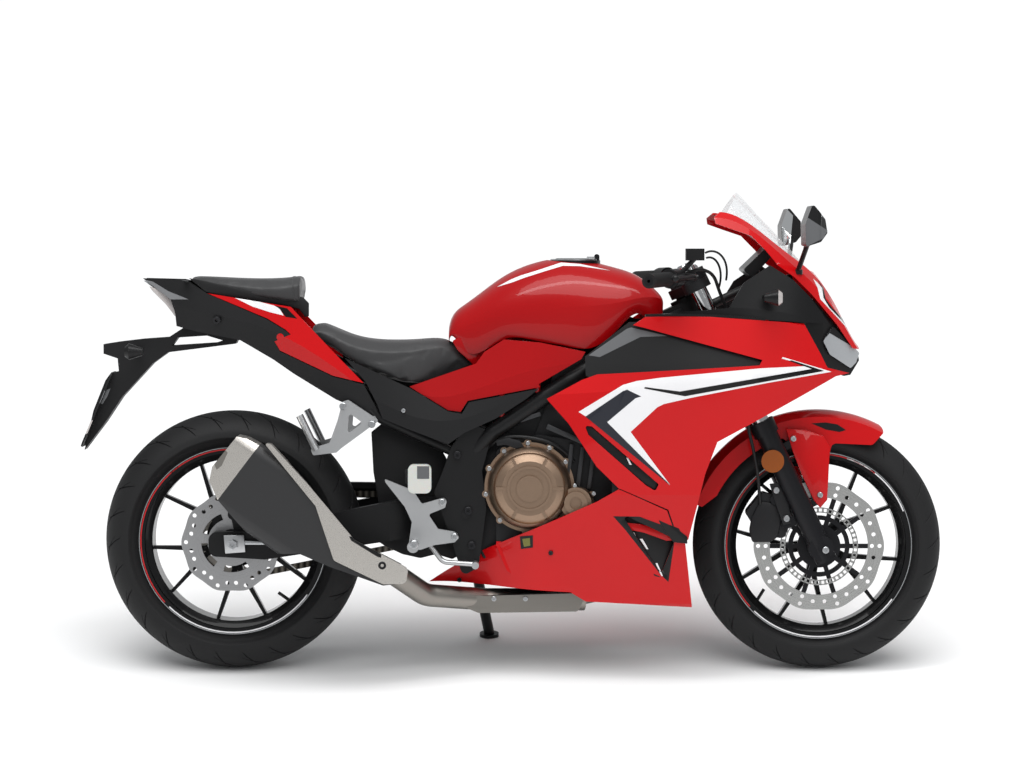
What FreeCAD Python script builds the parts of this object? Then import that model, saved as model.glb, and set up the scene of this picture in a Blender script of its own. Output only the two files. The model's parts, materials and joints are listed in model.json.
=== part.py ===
"""A fully faired parallel-twin sport bike that leans on its side stand.

It is modelled upright: x runs forward from the rear axle, y to the left and z up from the ground.
At the end the whole bike is leaned over onto its stand and its origin is set under its middle.
Outlines are shares of the wheelbase along x and of the overall height along z.
"""
import FreeCAD
import Part
import math
import os

# Driving dimensions, in millimetres and degrees
wheelbase = 1410.0
bike_height = 1145.0
lean_degrees = 10.0
rake_degrees = 25.5
fork_offset = 37.0
steering_lock_degrees = 30.0
overrun = 5.0
seat_gap = 0.3

# Wheels
front_tyre_radius = 300.0
front_tyre_width = 120.0
front_rim_width = 89.0
rear_tyre_radius = 312.0
rear_tyre_width = 160.0
rear_rim_width = 116.0
bead_radius = 216.0
tyre_wall = 12.0
flange_height = 10.0
flange_thickness = 4.5
rim_wall = 4.0
rim_well_depth = 16.0
spoke_depth = 22.0
spoke_width = 8.0
spoke_root_width = 26.0
axle_radius = 10.0
running_gap = 0.08
hub_radius = 30.0

# Brakes
front_disc_radius = 157.0
front_disc_inner_radius = 118.0
rear_disc_radius = 120.0
rear_disc_inner_radius = 84.0
disc_thickness = 5.0
disc_wave = 4.0
front_disc_y = 64.0
rear_disc_y = 94.0
disc_hole_radius = 5.0
pad_slot_gap = 5.0

# Fork and steering
fork_leg_y = 107.0
fork_leg_radius = 26.0
fork_tube_radius = 20.5
fork_leg_foot = 34.0
fork_leg_height = 335.0
fork_top = 742.0
collar_height = 34.0
collar_radius = 31.0
head_tube_foot = 566.0
head_tube_length = 112.0
head_tube_radius = 33.0
stem_radius = 16.0
lower_yoke_thickness = 34.0
upper_yoke_thickness = 22.0
yoke_wall = 13.0
yoke_gap = 5.0

# Handlebars
bar_radius = 11.0
grip_radius = 17.0
grip_length = 122.0
bar_end_y = 345.0
bar_clamp_height = 26.0
bar_thread_radius = 4.0
bar_thread_depth = 30.0

# Drive
chain_y = 94.0
chain_width = 18.0
chain_plate_thickness = 3.0
chain_plate_height = 14.0
chain_roller_height = 6.0
chain_pitch = 15.875
rear_teeth = 41
front_teeth = 15
sprocket_thickness = 6.0
tooth_height = 4.5
tooth_clearance = 0.4

# Swingarm
swing_inner_y = 113.0
swing_wall = 27.0
swing_pivot_y = 106.0
swing_pivot_inner_y = 66.0
chain_room = 6.0
pivot_tube_radius = 26.0
pivot_tube_half = 82.0

# Frame
spar_radius = 20.0
rail_radius = 13.0
pivot_plate_inner = 112.0
pivot_plate_thickness = 24.0
spar_y = 128.0

# Engine
case_right_y = 125.0
case_left_y = 80.0
case_left_front_y = 130.0
cylinder_half_width = 104.0
clutch_flange_radius = 107.0
clutch_dome_radius = 86.0
clutch_cover_depth = 65.0
clutch_rib_width = 7.0
small_cover_radius = 39.0
small_cover_depth = 40.0
alternator_radius = 82.0
alternator_depth = 34.0

# Exhaust
header_radius = 20.0
header_y = 46.0
collector_radius = 27.0
muffler_inner_y = 148.0
muffler_width = 98.0
shield_thickness = 5.0

# Bodywork
panel_thickness = 4.0
cowl_half_width = 238.0
tank_half_width = 150.0
seat_half_width = 120.0
tail_half_width = 122.0
knee_half_width = 150.0
nose_half_width = 175.0
screen_thickness = 3.0
boss_radius = 9.0
fuel_cap_radius = 56.0
fuel_cap_height = 12.0
fuel_ring_width = 9.0
fuel_ring_height = 9.0
cap_hinge_radius = 3.0
cap_knuckle_radius = 6.0
cap_knuckle_half = 12.0

# Side stand
stand_leg_radius = 13.0
stand_pivot_radius = 7.0
stand_ear_radius = 19.0
stand_ear_thickness = 9.0
stand_foot_radius = 24.0
stand_foot_thickness = 8.0

# Number plate and lamps
plate_width = 180.0
plate_bolt_spacing = 90.0
plate_bolt_radius = 3.0
plate_thickness = 4.0
indicator_radius = 20.0

# Mirrors
mirror_half_span = 373.0
mirror_width = 118.0

origin = FreeCAD.Vector(0, 0, 0)
along_x = FreeCAD.Vector(1, 0, 0)
along_y = FreeCAD.Vector(0, 1, 0)
along_z = FreeCAD.Vector(0, 0, 1)
rake = math.radians(rake_degrees)
up_fork = FreeCAD.Vector(-math.sin(rake), 0, math.cos(rake))
ahead_fork = FreeCAD.Vector(math.cos(rake), 0, math.sin(rake))
front_axle = FreeCAD.Vector(wheelbase, 0, front_tyre_radius)
rear_axle = FreeCAD.Vector(0, 0, rear_tyre_radius)


# Places and simple forms
def at(u, v, y=0.0):
    """A point from its share of the wheelbase, its share of the height and its place across."""
    return FreeCAD.Vector(u * wheelbase, y, v * bike_height)


def fork_at(up, ahead, y=0.0):
    """A point measured up the fork and ahead of it, from the front axle."""
    return front_axle + up_fork * up + ahead_fork * ahead + along_y * y


def mirrored(shape):
    return shape.mirror(origin, along_y)


def joined(shapes):
    """One solid, or several that don't touch, from shapes that overlap."""
    whole = shapes[0].fuse(shapes[1:]) if len(shapes) > 1 else shapes[0]
    return whole.removeSplitter()


def grouped(shapes):
    return Part.makeCompound([solid for shape in shapes for solid in shape.Solids])


def pair(shape):
    return grouped([shape, mirrored(shape)])


def rod(start, end, radius):
    return Part.makeCylinder(radius, (end - start).Length, start, end - start)


def cone(start, end, start_radius, end_radius):
    return Part.makeCone(start_radius, end_radius, (end - start).Length, start, end - start)


def block(low, high):
    return Part.makeBox(high.x - low.x, high.y - low.y, high.z - low.z, low)


def corner_arc(before, corner, after, radius):
    """The two ends and the middle of the arc that rounds one corner."""
    back = before - corner
    on = after - corner
    half = back.getAngle(on) / 2
    reach = min(radius / math.tan(half), 0.45 * min(back.Length, on.Length))
    back.normalize()
    on.normalize()
    arc_radius = reach * math.tan(half)
    middle = (back + on).normalize() * (arc_radius / math.sin(half) - arc_radius)
    return corner + back * reach, corner + middle, corner + on * reach


def is_straight(before, corner, after):
    return (corner - before).getAngle(after - corner) < math.radians(2)


def rounded_wire(points, radius=0.0):
    """A closed outline through the points, its corners rounded."""
    if radius <= 0:
        return Part.makePolygon(points + [points[0]])
    edges = []
    ends = []
    for i, corner in enumerate(points):
        before = points[i - 1]
        after = points[(i + 1) % len(points)]
        if is_straight(before, corner, after):
            ends.append((corner, corner))
            continue
        start, middle, end = corner_arc(before, corner, after, radius)
        edges.append(Part.Arc(start, middle, end).toShape())
        ends.append((start, end))
    for i, (start, end) in enumerate(ends):
        edges.append(Part.makeLine(ends[i - 1][1], start))
    return Part.Wire(Part.sortEdges(edges)[0])


def prism(shares, y_from, y_to, radius=0.0):
    """A side outline in shares, pushed across the bike from one y to another."""
    wire = rounded_wire([at(u, v, y_from) for u, v in shares], radius)
    return Part.Face(wire).extrude(along_y * (y_to - y_from))


def plan_prism(points, z_from, z_to, radius=0.0):
    """An outline seen from above, as (x, y) places, pushed upward."""
    wire = rounded_wire([FreeCAD.Vector(x, y, z_from) for x, y in points], radius)
    return Part.Face(wire).extrude(along_z * (z_to - z_from))


def bent_rod(points, radius, bend):
    """A round bar along straight runs joined by arcs."""
    edges = []
    start = points[0]
    for i in range(1, len(points) - 1):
        arc_start, middle, arc_end = corner_arc(points[i - 1], points[i], points[i + 1], bend)
        edges.append(Part.makeLine(start, arc_start))
        edges.append(Part.Arc(arc_start, middle, arc_end).toShape())
        start = arc_end
    edges.append(Part.makeLine(start, points[-1]))
    circle = Part.makeCircle(radius, points[0], points[1] - points[0])
    return Part.Wire(edges).makePipeShell([Part.Wire(circle)], True, False)


def curve(points):
    """A straight edge between two points, or a smooth one through more."""
    if len(points) == 2:
        return Part.makeLine(points[0], points[1])
    spline = Part.BSplineCurve()
    spline.interpolate(points)
    return spline.toShape()


def ring_section(u, half_width, top, side, foot):
    """A closed section across the bike: crowned top, shaped sides and a foot, from right-hand halves."""
    def right(run):
        return [at(u, v, -share * half_width) for share, v in run]

    def left(run):
        return [at(u, v, share * half_width) for share, v in run]

    edges = [
        curve(right(top)[::-1] + left(top)[1:]),
        curve(left(side)),
        curve([left(foot)[-1], right(foot)[-1]]),
        curve(right(side)[::-1]),
    ]
    return Part.Wire(edges)


def crowned_body(half_width, stations):
    """A solid lofted from crowned sections: u, top v, edge share, edge v, foot share, foot v."""
    wires = []
    for u, top_v, edge_share, edge_v, foot_share, foot_v in stations:
        shoulder = (0.72 * edge_share, edge_v + 0.72 * (top_v - edge_v))
        top = [(0, top_v), shoulder, (edge_share, edge_v)]
        middle = ((edge_share + foot_share) / 2 + 0.02, (edge_v + foot_v) / 2)
        side = [(edge_share, edge_v), middle, (foot_share, foot_v)]
        wires.append(ring_section(u, half_width, top, side, [(foot_share, foot_v)]))
    return Part.makeLoft(wires, True, False)


def skin(half_width, stations, thickness, drop=0.0):
    """A thin right-hand wall lofted along the bike from chains of (width share, v), bottom to top."""
    inward = along_y * thickness - along_z * drop
    wires = []
    for u, chain in stations:
        outer = [at(u, v, -share * half_width) for share, v in chain]
        inner = [point + inward for point in reversed(outer)]
        wires.append(Part.makePolygon(outer + inner + [outer[0]]))
    return Part.makeLoft(wires, True, False)


def outside_of(half_width, stations):
    """The space beyond a right-hand panel's outer face."""
    return skin(half_width, stations, -2 * cowl_depth)


def lug(u, v, y_inner, outside):
    """A boss that runs from a panel's outer face in to what carries it."""
    return across_rod(at(u, v), boss_radius, -cowl_depth, -y_inner).cut(outside)


def slanted_lug(start, end, outside):
    return rod(start, end, 0.7 * boss_radius).cut(outside)


# Wheels
def revolved(points_and_arcs, centre):
    """A ring turned about the axle from a closed profile in (y, radius)."""
    edges = []
    for run in points_and_arcs:
        places = [centre + along_y * y + along_z * radius for y, radius in run]
        if len(places) == 2:
            edges.append(Part.makeLine(places[0], places[1]))
        else:
            edges.append(Part.Arc(places[0], places[1], places[2]).toShape())
    return Part.Face(Part.Wire(edges)).revolve(centre, along_y, 360)


tyre_edge_share = 0.475
tyre_edge_height_share = 0.55


def make_tyre(centre, radius, width, rim_width):
    """Round crown, bulged walls over the rim flange, and a hollow inside."""
    height = radius - bead_radius
    bead = rim_width / 2
    edge = (tyre_edge_share * width, bead_radius + tyre_edge_height_share * height)
    bulge = (0.5 * width, bead_radius + 0.36 * height)
    over_flange = bead_radius + flange_height + tyre_wall / 4
    inner_bead = bead - tyre_wall
    inner_edge = (edge[0] - tyre_wall, bead_radius + 0.5 * height)

    def flip(place):
        return (-place[0], place[1])

    profile = [
        [flip(edge), (0, radius), edge],
        [edge, bulge, (bead, over_flange)],
        [(bead, over_flange), (bead, bead_radius)],
        [(bead, bead_radius), (inner_bead, bead_radius)],
        [(inner_bead, bead_radius), inner_edge],
        [inner_edge, (0, radius - tyre_wall), flip(inner_edge)],
        [flip(inner_edge), (-inner_bead, bead_radius)],
        [(-inner_bead, bead_radius), (-bead, bead_radius)],
        [(-bead, bead_radius), (-bead, over_flange)],
        [(-bead, over_flange), flip(bulge), flip(edge)],
    ]
    return revolved(profile, centre)


def make_rim_barrel(centre, rim_width):
    """The rim: flanges, bead seats and the well between them."""
    seat = rim_width / 2
    edge = seat + flange_thickness
    ledge = seat - tyre_wall
    well = ledge - rim_well_depth / 2
    well_radius = bead_radius - rim_well_depth
    right_half = [
        (edge, bead_radius - rim_wall), (edge, bead_radius + flange_height),
        (seat, bead_radius + flange_height), (seat, bead_radius),
        (ledge, bead_radius), (well, well_radius),
    ]
    under = [(well - rim_wall / 2, well_radius - rim_wall), (ledge, bead_radius - rim_wall)]
    outline = right_half + [(-y, r) for y, r in reversed(right_half)]
    outline += [(-y, r) for y, r in reversed(under)] + under
    runs = [[outline[i], outline[(i + 1) % len(outline)]] for i in range(len(outline))]
    return revolved(runs, centre)


spoke_pair_count = 5
spoke_splay_degrees = 17.0
spoke_fork_share = 0.34


def make_spokes(centre, phase_degrees):
    """Five forked spokes, each splitting into two thin blades that reach the rim."""
    tip = bead_radius - rim_well_depth - rim_wall / 2
    fork_radius = spoke_fork_share * tip
    spokes = []
    splay = math.radians(spoke_splay_degrees)
    for side in (-1, 1):
        end = (tip * math.sin(side * splay), tip * math.cos(splay))
        across = (end[0], end[1] - fork_radius)
        length = math.hypot(across[0], across[1])
        normal = (across[1] / length, -across[0] / length)
        half = spoke_width / 2
        root = spoke_root_width / 4
        places = [
            (normal[0] * root + side * root / 2, fork_radius + normal[1] * root),
            (end[0] + normal[0] * half, end[1] + normal[1] * half),
            (end[0] - normal[0] * half, end[1] - normal[1] * half),
            (-normal[0] * root + side * root / 2, fork_radius - normal[1] * root),
        ]
        points = [centre + FreeCAD.Vector(x, -spoke_depth / 2, z) for x, z in places]
        spokes.append(Part.Face(rounded_wire(points)).extrude(along_y * spoke_depth))
    half_root = spoke_root_width / 2
    arm = block(
        centre + FreeCAD.Vector(-half_root, -spoke_depth / 2, hub_radius / 2),
        centre + FreeCAD.Vector(half_root, spoke_depth / 2, fork_radius + half_root / 2),
    )
    one = joined(spokes + [arm])
    copies = []
    for i in range(spoke_pair_count):
        turned = one.copy()
        turned.rotate(centre, along_y, phase_degrees + i * 360 / spoke_pair_count)
        copies.append(turned)
    return copies


def across_rod(centre, radius, y_from, y_to):
    return Part.makeCylinder(radius, y_to - y_from, centre + along_y * y_from, along_y)


def make_valve(centre, phase_degrees):
    length = hub_radius
    foot = centre + along_z * (bead_radius - rim_well_depth - rim_wall / 2)
    stem = rod(foot, foot - along_z * length + along_x * length / 4, spoke_width / 2)
    stem.rotate(centre, along_y, phase_degrees)
    return stem


front_spoke_phase = 190.0
rear_spoke_phase = 175.0
front_hub_half = 78.0
rear_hub_half = 111.5
cush_drum_radius = 70.0
disc_boss_radius = 46.0


def make_front_rim():
    boss_end = -(front_disc_y - disc_thickness / 2)
    pieces = [make_rim_barrel(front_axle, front_rim_width)]
    pieces += make_spokes(front_axle, front_spoke_phase)
    pieces.append(across_rod(front_axle, hub_radius, boss_end, -boss_end))
    pieces.append(across_rod(front_axle, disc_boss_radius, boss_end, boss_end + rim_well_depth))
    pieces.append(across_rod(front_axle, axle_radius + tyre_wall / 2, -front_hub_half, front_hub_half))
    pieces.append(make_valve(front_axle, front_spoke_phase + 180 / spoke_pair_count))
    whole = joined(pieces)
    reach = front_hub_half + overrun
    bore = across_rod(front_axle, axle_radius + running_gap, -reach, reach)
    return whole.cut(bore)


def make_rear_rim():
    boss_end = -(rear_disc_y - disc_thickness / 2)
    carrier_end = chain_y - sprocket_thickness / 2
    pieces = [make_rim_barrel(rear_axle, rear_rim_width)]
    pieces += make_spokes(rear_axle, rear_spoke_phase)
    pieces.append(across_rod(rear_axle, hub_radius, boss_end, carrier_end))
    pieces.append(across_rod(rear_axle, disc_boss_radius, boss_end, boss_end + disc_boss_radius))
    pieces.append(across_rod(rear_axle, cush_drum_radius, spoke_depth / 2, carrier_end))
    pieces.append(across_rod(rear_axle, axle_radius + tyre_wall / 2, -rear_hub_half, rear_hub_half))
    pieces.append(make_valve(rear_axle, rear_spoke_phase - 180 / spoke_pair_count))
    whole = joined(pieces)
    bore = across_rod(rear_axle, axle_radius + running_gap, -rear_hub_half - overrun, rear_hub_half + overrun)
    return whole.cut(bore)


disc_lobe_count = 10
points_per_lobe = 6


def wavy_face(centre, radius, y):
    """A disc's outline with shallow waves."""
    count = disc_lobe_count * points_per_lobe
    points = []
    for i in range(count):
        angle = 2 * math.pi * i / count
        reach = radius - disc_wave / 2 + disc_wave / 2 * math.cos(disc_lobe_count * angle)
        points.append(centre + FreeCAD.Vector(reach * math.cos(angle), y, reach * math.sin(angle)))
    spline = Part.BSplineCurve()
    spline.interpolate(points, PeriodicFlag=True)
    return Part.Face(Part.Wire(spline.toShape()))


def ring_of_holes(centre, radius, hole_radius, count, phase, y_from, y_to):
    holes = []
    for i in range(count):
        angle = phase + 2 * math.pi * i / count
        place = centre + FreeCAD.Vector(radius * math.cos(angle), 0, radius * math.sin(angle))
        holes.append(across_rod(place, hole_radius, y_from, y_to))
    return holes


def make_rotor(centre, radius, inner_radius, y_middle, hole_rings):
    y_low = y_middle - disc_thickness / 2
    y_high = y_middle + disc_thickness / 2
    rotor = wavy_face(centre, radius, y_low).extrude(along_y * disc_thickness)
    cuts = [across_rod(centre, inner_radius, y_low - overrun, y_high + overrun)]
    for share, phase in hole_rings:
        ring_radius = inner_radius + share * (radius - inner_radius)
        cuts += ring_of_holes(
            centre, ring_radius, disc_hole_radius, disc_lobe_count,
            math.radians(phase), y_low - overrun, y_high + overrun,
        )
    return rotor.cut(cuts)


def make_front_disc():
    return make_rotor(front_axle, front_disc_radius, front_disc_inner_radius, -front_disc_y,
                      [(0.72, 0), (0.42, 12), (0.42, -12), (0.25, 0)])


carrier_arm_width = 22.0
carrier_hub_radius = 52.0


def make_front_disc_carrier():
    """The five-armed carrier between the hub and the floating rotor."""
    y_low = -front_disc_y - disc_thickness / 2
    y_high = -front_disc_y + disc_thickness / 2
    hub = across_rod(front_axle, carrier_hub_radius, y_low, y_high)
    arms = []
    for i in range(spoke_pair_count):
        for lean in (-1, 1):
            half = carrier_arm_width / 4
            arm = block(
                front_axle + FreeCAD.Vector(-half, y_low, carrier_hub_radius / 2),
                front_axle + FreeCAD.Vector(half, y_high, front_disc_inner_radius + overrun),
            )
            arm.rotate(front_axle, along_y, i * 360 / spoke_pair_count + lean * 18)
            arms.append(arm)
    band = across_rod(front_axle, carrier_hub_radius + carrier_arm_width, y_low, y_high)
    eye_radius = carrier_hub_radius + carrier_arm_width / 2
    band = band.cut(across_rod(front_axle, eye_radius, y_low - overrun, y_high + overrun))
    whole = joined([hub, band] + arms)
    whole = whole.common(across_rod(front_axle, front_disc_inner_radius, y_low, y_high))
    spacer = axle_radius + tyre_wall / 2
    return whole.cut(across_rod(front_axle, spacer, y_low - overrun, y_high + overrun))


def make_rear_disc():
    """The rear rotor with its slotted centre in one piece."""
    y_low = -rear_disc_y - disc_thickness / 2
    y_high = -rear_disc_y + disc_thickness / 2
    rotor = make_rotor(rear_axle, rear_disc_radius, rear_disc_inner_radius, -rear_disc_y,
                       [(0.7, 0), (0.4, 12), (0.4, -12)])
    plate = across_rod(rear_axle, rear_disc_inner_radius, y_low, y_high)
    slots = []
    for i in range(spoke_pair_count):
        slot = across_rod(rear_axle, 0.86 * rear_disc_inner_radius, y_low - overrun, y_high + overrun)
        slot_radius = 0.68 * rear_disc_inner_radius
        slot = slot.cut(across_rod(rear_axle, slot_radius, y_low - overrun, y_high + overrun))
        foot = rear_axle + along_y * (y_low - overrun)
        wedge = Part.makeCylinder(rear_disc_radius, 4 * overrun, foot, along_y, 52)
        wedge.rotate(rear_axle, along_y, i * 360 / spoke_pair_count)
        slots.append(slot.common(wedge))
    plate = plate.cut(slots)
    whole = joined([rotor, plate])
    return whole.cut(across_rod(rear_axle, axle_radius + tyre_wall / 2, y_low - overrun, y_high + overrun))


# Chain drive
front_sprocket_shares = (0.454, 0.325)


def pitch_radius(teeth):
    return chain_pitch / (2 * math.sin(math.pi / teeth))


def make_sprocket(centre, teeth, y_middle):
    """A toothed wheel whose tips stop short of the chain's rollers."""
    outer = pitch_radius(teeth) - chain_roller_height / 2 - tooth_clearance
    points = []
    for i in range(teeth):
        step = 2 * math.pi / teeth
        root = outer - tooth_height
        for share, reach in ((-0.28, root), (-0.12, outer), (0.12, outer), (0.28, root)):
            angle = (i + share) * step
            points.append(centre + FreeCAD.Vector(
                reach * math.cos(angle), y_middle - sprocket_thickness / 2, reach * math.sin(angle)))
    return Part.Face(rounded_wire(points)).extrude(along_y * sprocket_thickness)


def front_sprocket_centre():
    return at(*front_sprocket_shares)


def make_rear_sprocket():
    body = make_sprocket(rear_axle, rear_teeth, chain_y)
    rim = pitch_radius(rear_teeth)
    windows = ring_of_holes(
        rear_axle, 0.72 * rim, 0.1 * rim, 2 * spoke_pair_count, 0,
        chain_y - sprocket_thickness, chain_y + sprocket_thickness,
    )
    return body.cut(windows + [across_rod(rear_axle, axle_radius + tyre_wall / 2, 0, 2 * chain_y)])


def loop_face(grow, y):
    """The area inside a belt round both sprockets, grown outward from the pitch line."""
    big = rear_axle + along_y * y
    small = front_sprocket_centre() + along_y * y
    big_radius = pitch_radius(rear_teeth) + grow
    small_radius = pitch_radius(front_teeth) + grow
    between = small - big
    tilt = math.atan2(between.z, between.x)
    fan = math.acos((big_radius - small_radius) / between.Length)

    def on(centre, radius, angle):
        return centre + FreeCAD.Vector(radius * math.cos(angle), 0, radius * math.sin(angle))

    top_big = on(big, big_radius, tilt + fan)
    low_big = on(big, big_radius, tilt - fan)
    top_small = on(small, small_radius, tilt + fan)
    low_small = on(small, small_radius, tilt - fan)
    edges = [
        Part.Arc(top_big, on(big, big_radius, tilt + math.pi), low_big).toShape(),
        Part.makeLine(low_big, low_small),
        Part.Arc(low_small, on(small, small_radius, tilt), top_small).toShape(),
        Part.makeLine(top_small, top_big),
    ]
    return Part.Face(Part.Wire(edges))


def chain_band(half_height, y_from, y_to):
    outer = loop_face(half_height, y_from).extrude(along_y * (y_to - y_from))
    return outer.cut(loop_face(-half_height, y_from).extrude(along_y * (y_to - y_from)))


def make_chain():
    """Two rows of side plates and the rollers between them, as one endless loop."""
    half = chain_width / 2
    rollers = chain_band(chain_roller_height / 2, chain_y - half, chain_y + half)
    left = chain_band(chain_plate_height / 2, chain_y + half - chain_plate_thickness, chain_y + half)
    right = chain_band(chain_plate_height / 2, chain_y - half, chain_y - half + chain_plate_thickness)
    return joined([rollers, left, right])


# Swingarm and rear brake
swingarm_shares = [
    (-0.036, 0.247), (-0.036, 0.297), (0.059, 0.300), (0.207, 0.345), (0.300, 0.368), (0.418, 0.366),
    (0.418, 0.302), (0.288, 0.282), (0.059, 0.240),
]
swing_pivot_shares = (0.399, 0.334)
swing_end_share = -0.036
axle_block_size = 34.0


def swing_plan(sign):
    """The arm seen from above: wide at the axle, stepping in to the pivot."""
    outer = swing_inner_y + swing_wall
    places = [
        (swing_end_share, swing_inner_y), (swing_end_share, outer), (0.27, outer), (0.335, swing_pivot_y),
        (0.418, swing_pivot_y), (0.418, swing_pivot_inner_y), (0.30, (swing_pivot_y + swing_pivot_inner_y) / 2),
        (0.245, swing_inner_y),
    ]
    return [(u * wheelbase, sign * y) for u, y in places]


def make_swingarm():
    reach = swing_inner_y + swing_wall
    side = prism(swingarm_shares, -reach, reach, spar_radius)
    arms = [side.common(plan_prism(swing_plan(sign), 0, bike_height)) for sign in (-1, 1)]
    brace = prism([(0.255, 0.300), (0.255, 0.345), (0.318, 0.362), (0.318, 0.298)],
                  -swing_pivot_y + panel_thickness, swing_pivot_y - panel_thickness, rail_radius)
    pivot = at(*swing_pivot_shares)
    tube = across_rod(pivot, pivot_tube_radius, -pivot_tube_half, pivot_tube_half)
    axle = across_rod(rear_axle, axle_radius, -reach - axle_radius, reach + axle_radius)
    nuts = [across_rod(rear_axle, axle_radius * 1.6, reach, reach + axle_radius * 0.8),
            across_rod(rear_axle, axle_radius * 1.6, -reach - axle_radius * 0.8, -reach)]
    whole = joined(arms + [brace, tube, axle] + nuts + axle_blocks(reach))
    half = chain_width / 2 + chain_room
    groove = chain_band(chain_plate_height / 2 + chain_room, chain_y - half, chain_y + half)
    bore = across_rod(pivot, axle_radius + running_gap, -pivot_plate_inner, pivot_plate_inner)
    return whole.cut([bore, groove])


def axle_blocks(outer):
    """The square adjuster blocks on the outside of each arm's end."""
    half = axle_block_size / 2
    corner = FreeCAD.Vector(half, 0, half)
    one = block(rear_axle - corner + along_y * outer, rear_axle + corner + along_y * (outer + overrun))
    return [one, mirrored(one)]


rear_caliper_shares = [
    (-0.006, 0.325), (0.000, 0.372), (0.048, 0.381), (0.074, 0.345), (0.066, 0.312), (0.03, 0.306),
]
caliper_half_thickness = 19.0
caliper_ring_radius = 32.0


def make_rear_caliper():
    caliper_outer = -rear_disc_y - caliper_half_thickness
    body = prism(rear_caliper_shares, caliper_outer, caliper_outer + 2 * caliper_half_thickness, rail_radius)
    slot = across_rod(rear_axle, rear_disc_radius + pad_slot_gap,
                      -rear_disc_y - disc_thickness / 2 - pad_slot_gap,
                      -rear_disc_y + disc_thickness / 2 + pad_slot_gap)
    body = body.cut(slot)
    plate_inner = -rear_disc_y - disc_thickness / 2 - pad_slot_gap
    ring = across_rod(rear_axle, caliper_ring_radius, -swing_inner_y, plate_inner)
    strut_shares = [(0.008, 0.285), (-0.004, 0.350), (0.050, 0.355), (0.028, 0.270)]
    strut = prism(strut_shares, -swing_inner_y, plate_inner, overrun)
    spacer_room = axle_radius + tyre_wall / 2 + pad_slot_gap
    hole = across_rod(rear_axle, spacer_room, -swing_inner_y - overrun, plate_inner + overrun)
    return joined([body, joined([ring, strut]).cut(hole)])


hugger_lip = 2.0
hugger_front_share = 0.262


def make_rear_hugger():
    """The short black guard over the chain's upper run."""
    front = hugger_front_share
    outer = chain_y + chain_width / 2 + hugger_lip
    shares = [(0.0, 0.376), (0.02, 0.388), (front, 0.385), (0.34, 0.372), (front, 0.372), (0.02, 0.378)]
    guard = prism(shares, chain_y - chain_width / 2, outer)
    flap_shares = [(0.0, 0.376), (0.02, 0.388), (front, 0.385), (front, 0.350), (0.1, 0.355)]
    flap = prism(flap_shares, outer, outer + panel_thickness)
    return joined([guard, flap])


# Frame
spar_path_shares = [(0.768, 0.745), (0.690, 0.700), (0.572, 0.613), (0.444, 0.505), (0.405, 0.455)]
spar_y_shares = [0.2, 0.72, 1.0, 1.0, 0.88]
pivot_plate_shares = [
    (0.345, 0.380), (0.360, 0.425), (0.374, 0.474), (0.404, 0.524), (0.444, 0.506), (0.426, 0.425),
    (0.433, 0.344), (0.420, 0.223), (0.393, 0.205), (0.372, 0.290),
]
upper_rail_shares = [(0.44, 0.500), (0.35, 0.560), (0.21, 0.625), (0.06, 0.715), (-0.03, 0.757)]
upper_rail_y_shares = [0.90, 0.74, 0.66, 0.60, 0.52]
lower_rail_shares = [(0.385, 0.460), (0.254, 0.533), (0.18, 0.632)]
lower_rail_y_shares = [0.88, 0.80, 0.68]
cross_tube_shares = [(0.375, 0.562), (0.21, 0.625), (-0.02, 0.752)]


def path_of(shares, y_shares, width):
    return [at(u, v, -share * width) for (u, v), share in zip(shares, y_shares)]


def steering_point(up):
    return fork_at(up, -fork_offset)


def make_frame():
    """Head tube, two spars, pivot plates and the seat rails, welded as one."""
    bottom = steering_point(head_tube_foot)
    top = steering_point(head_tube_foot + head_tube_length)
    head = rod(bottom, top, head_tube_radius)
    spar = bent_rod(path_of(spar_path_shares, spar_y_shares, spar_y), spar_radius, 3 * spar_radius)
    plate_outer = -pivot_plate_inner - pivot_plate_thickness
    plate = prism(pivot_plate_shares, plate_outer, -pivot_plate_inner, rail_radius)
    upper = bent_rod(path_of(upper_rail_shares, upper_rail_y_shares, spar_y), rail_radius, 3 * rail_radius)
    lower = bent_rod(path_of(lower_rail_shares, lower_rail_y_shares, spar_y), rail_radius, 3 * rail_radius)
    half = [spar, plate, upper, lower]
    crosses = []
    for (u, v), y_share in zip(cross_tube_shares, (0.78, 0.66, 0.53)):
        crosses.append(across_rod(at(u, v), 0.85 * rail_radius, -y_share * spar_y, y_share * spar_y))
    gusset = prism([(0.770, 0.775), (0.700, 0.735), (0.700, 0.690), (0.788, 0.722)],
                   -head_tube_radius, head_tube_radius, rail_radius)
    whole = joined([head, gusset] + half + [mirrored(shape) for shape in half] + crosses)
    pivot = at(*swing_pivot_shares)
    reach = pivot_plate_inner + pivot_plate_thickness
    bolt = across_rod(pivot, axle_radius, -reach - overrun, reach + overrun)
    whole = whole.cut([rod(bottom - up_fork * overrun, top + up_fork * overrun, stem_radius + running_gap),
                       stand_eye_room(), stand_leg_room()])
    return joined([whole, bolt, make_stand_bracket()])


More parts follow.
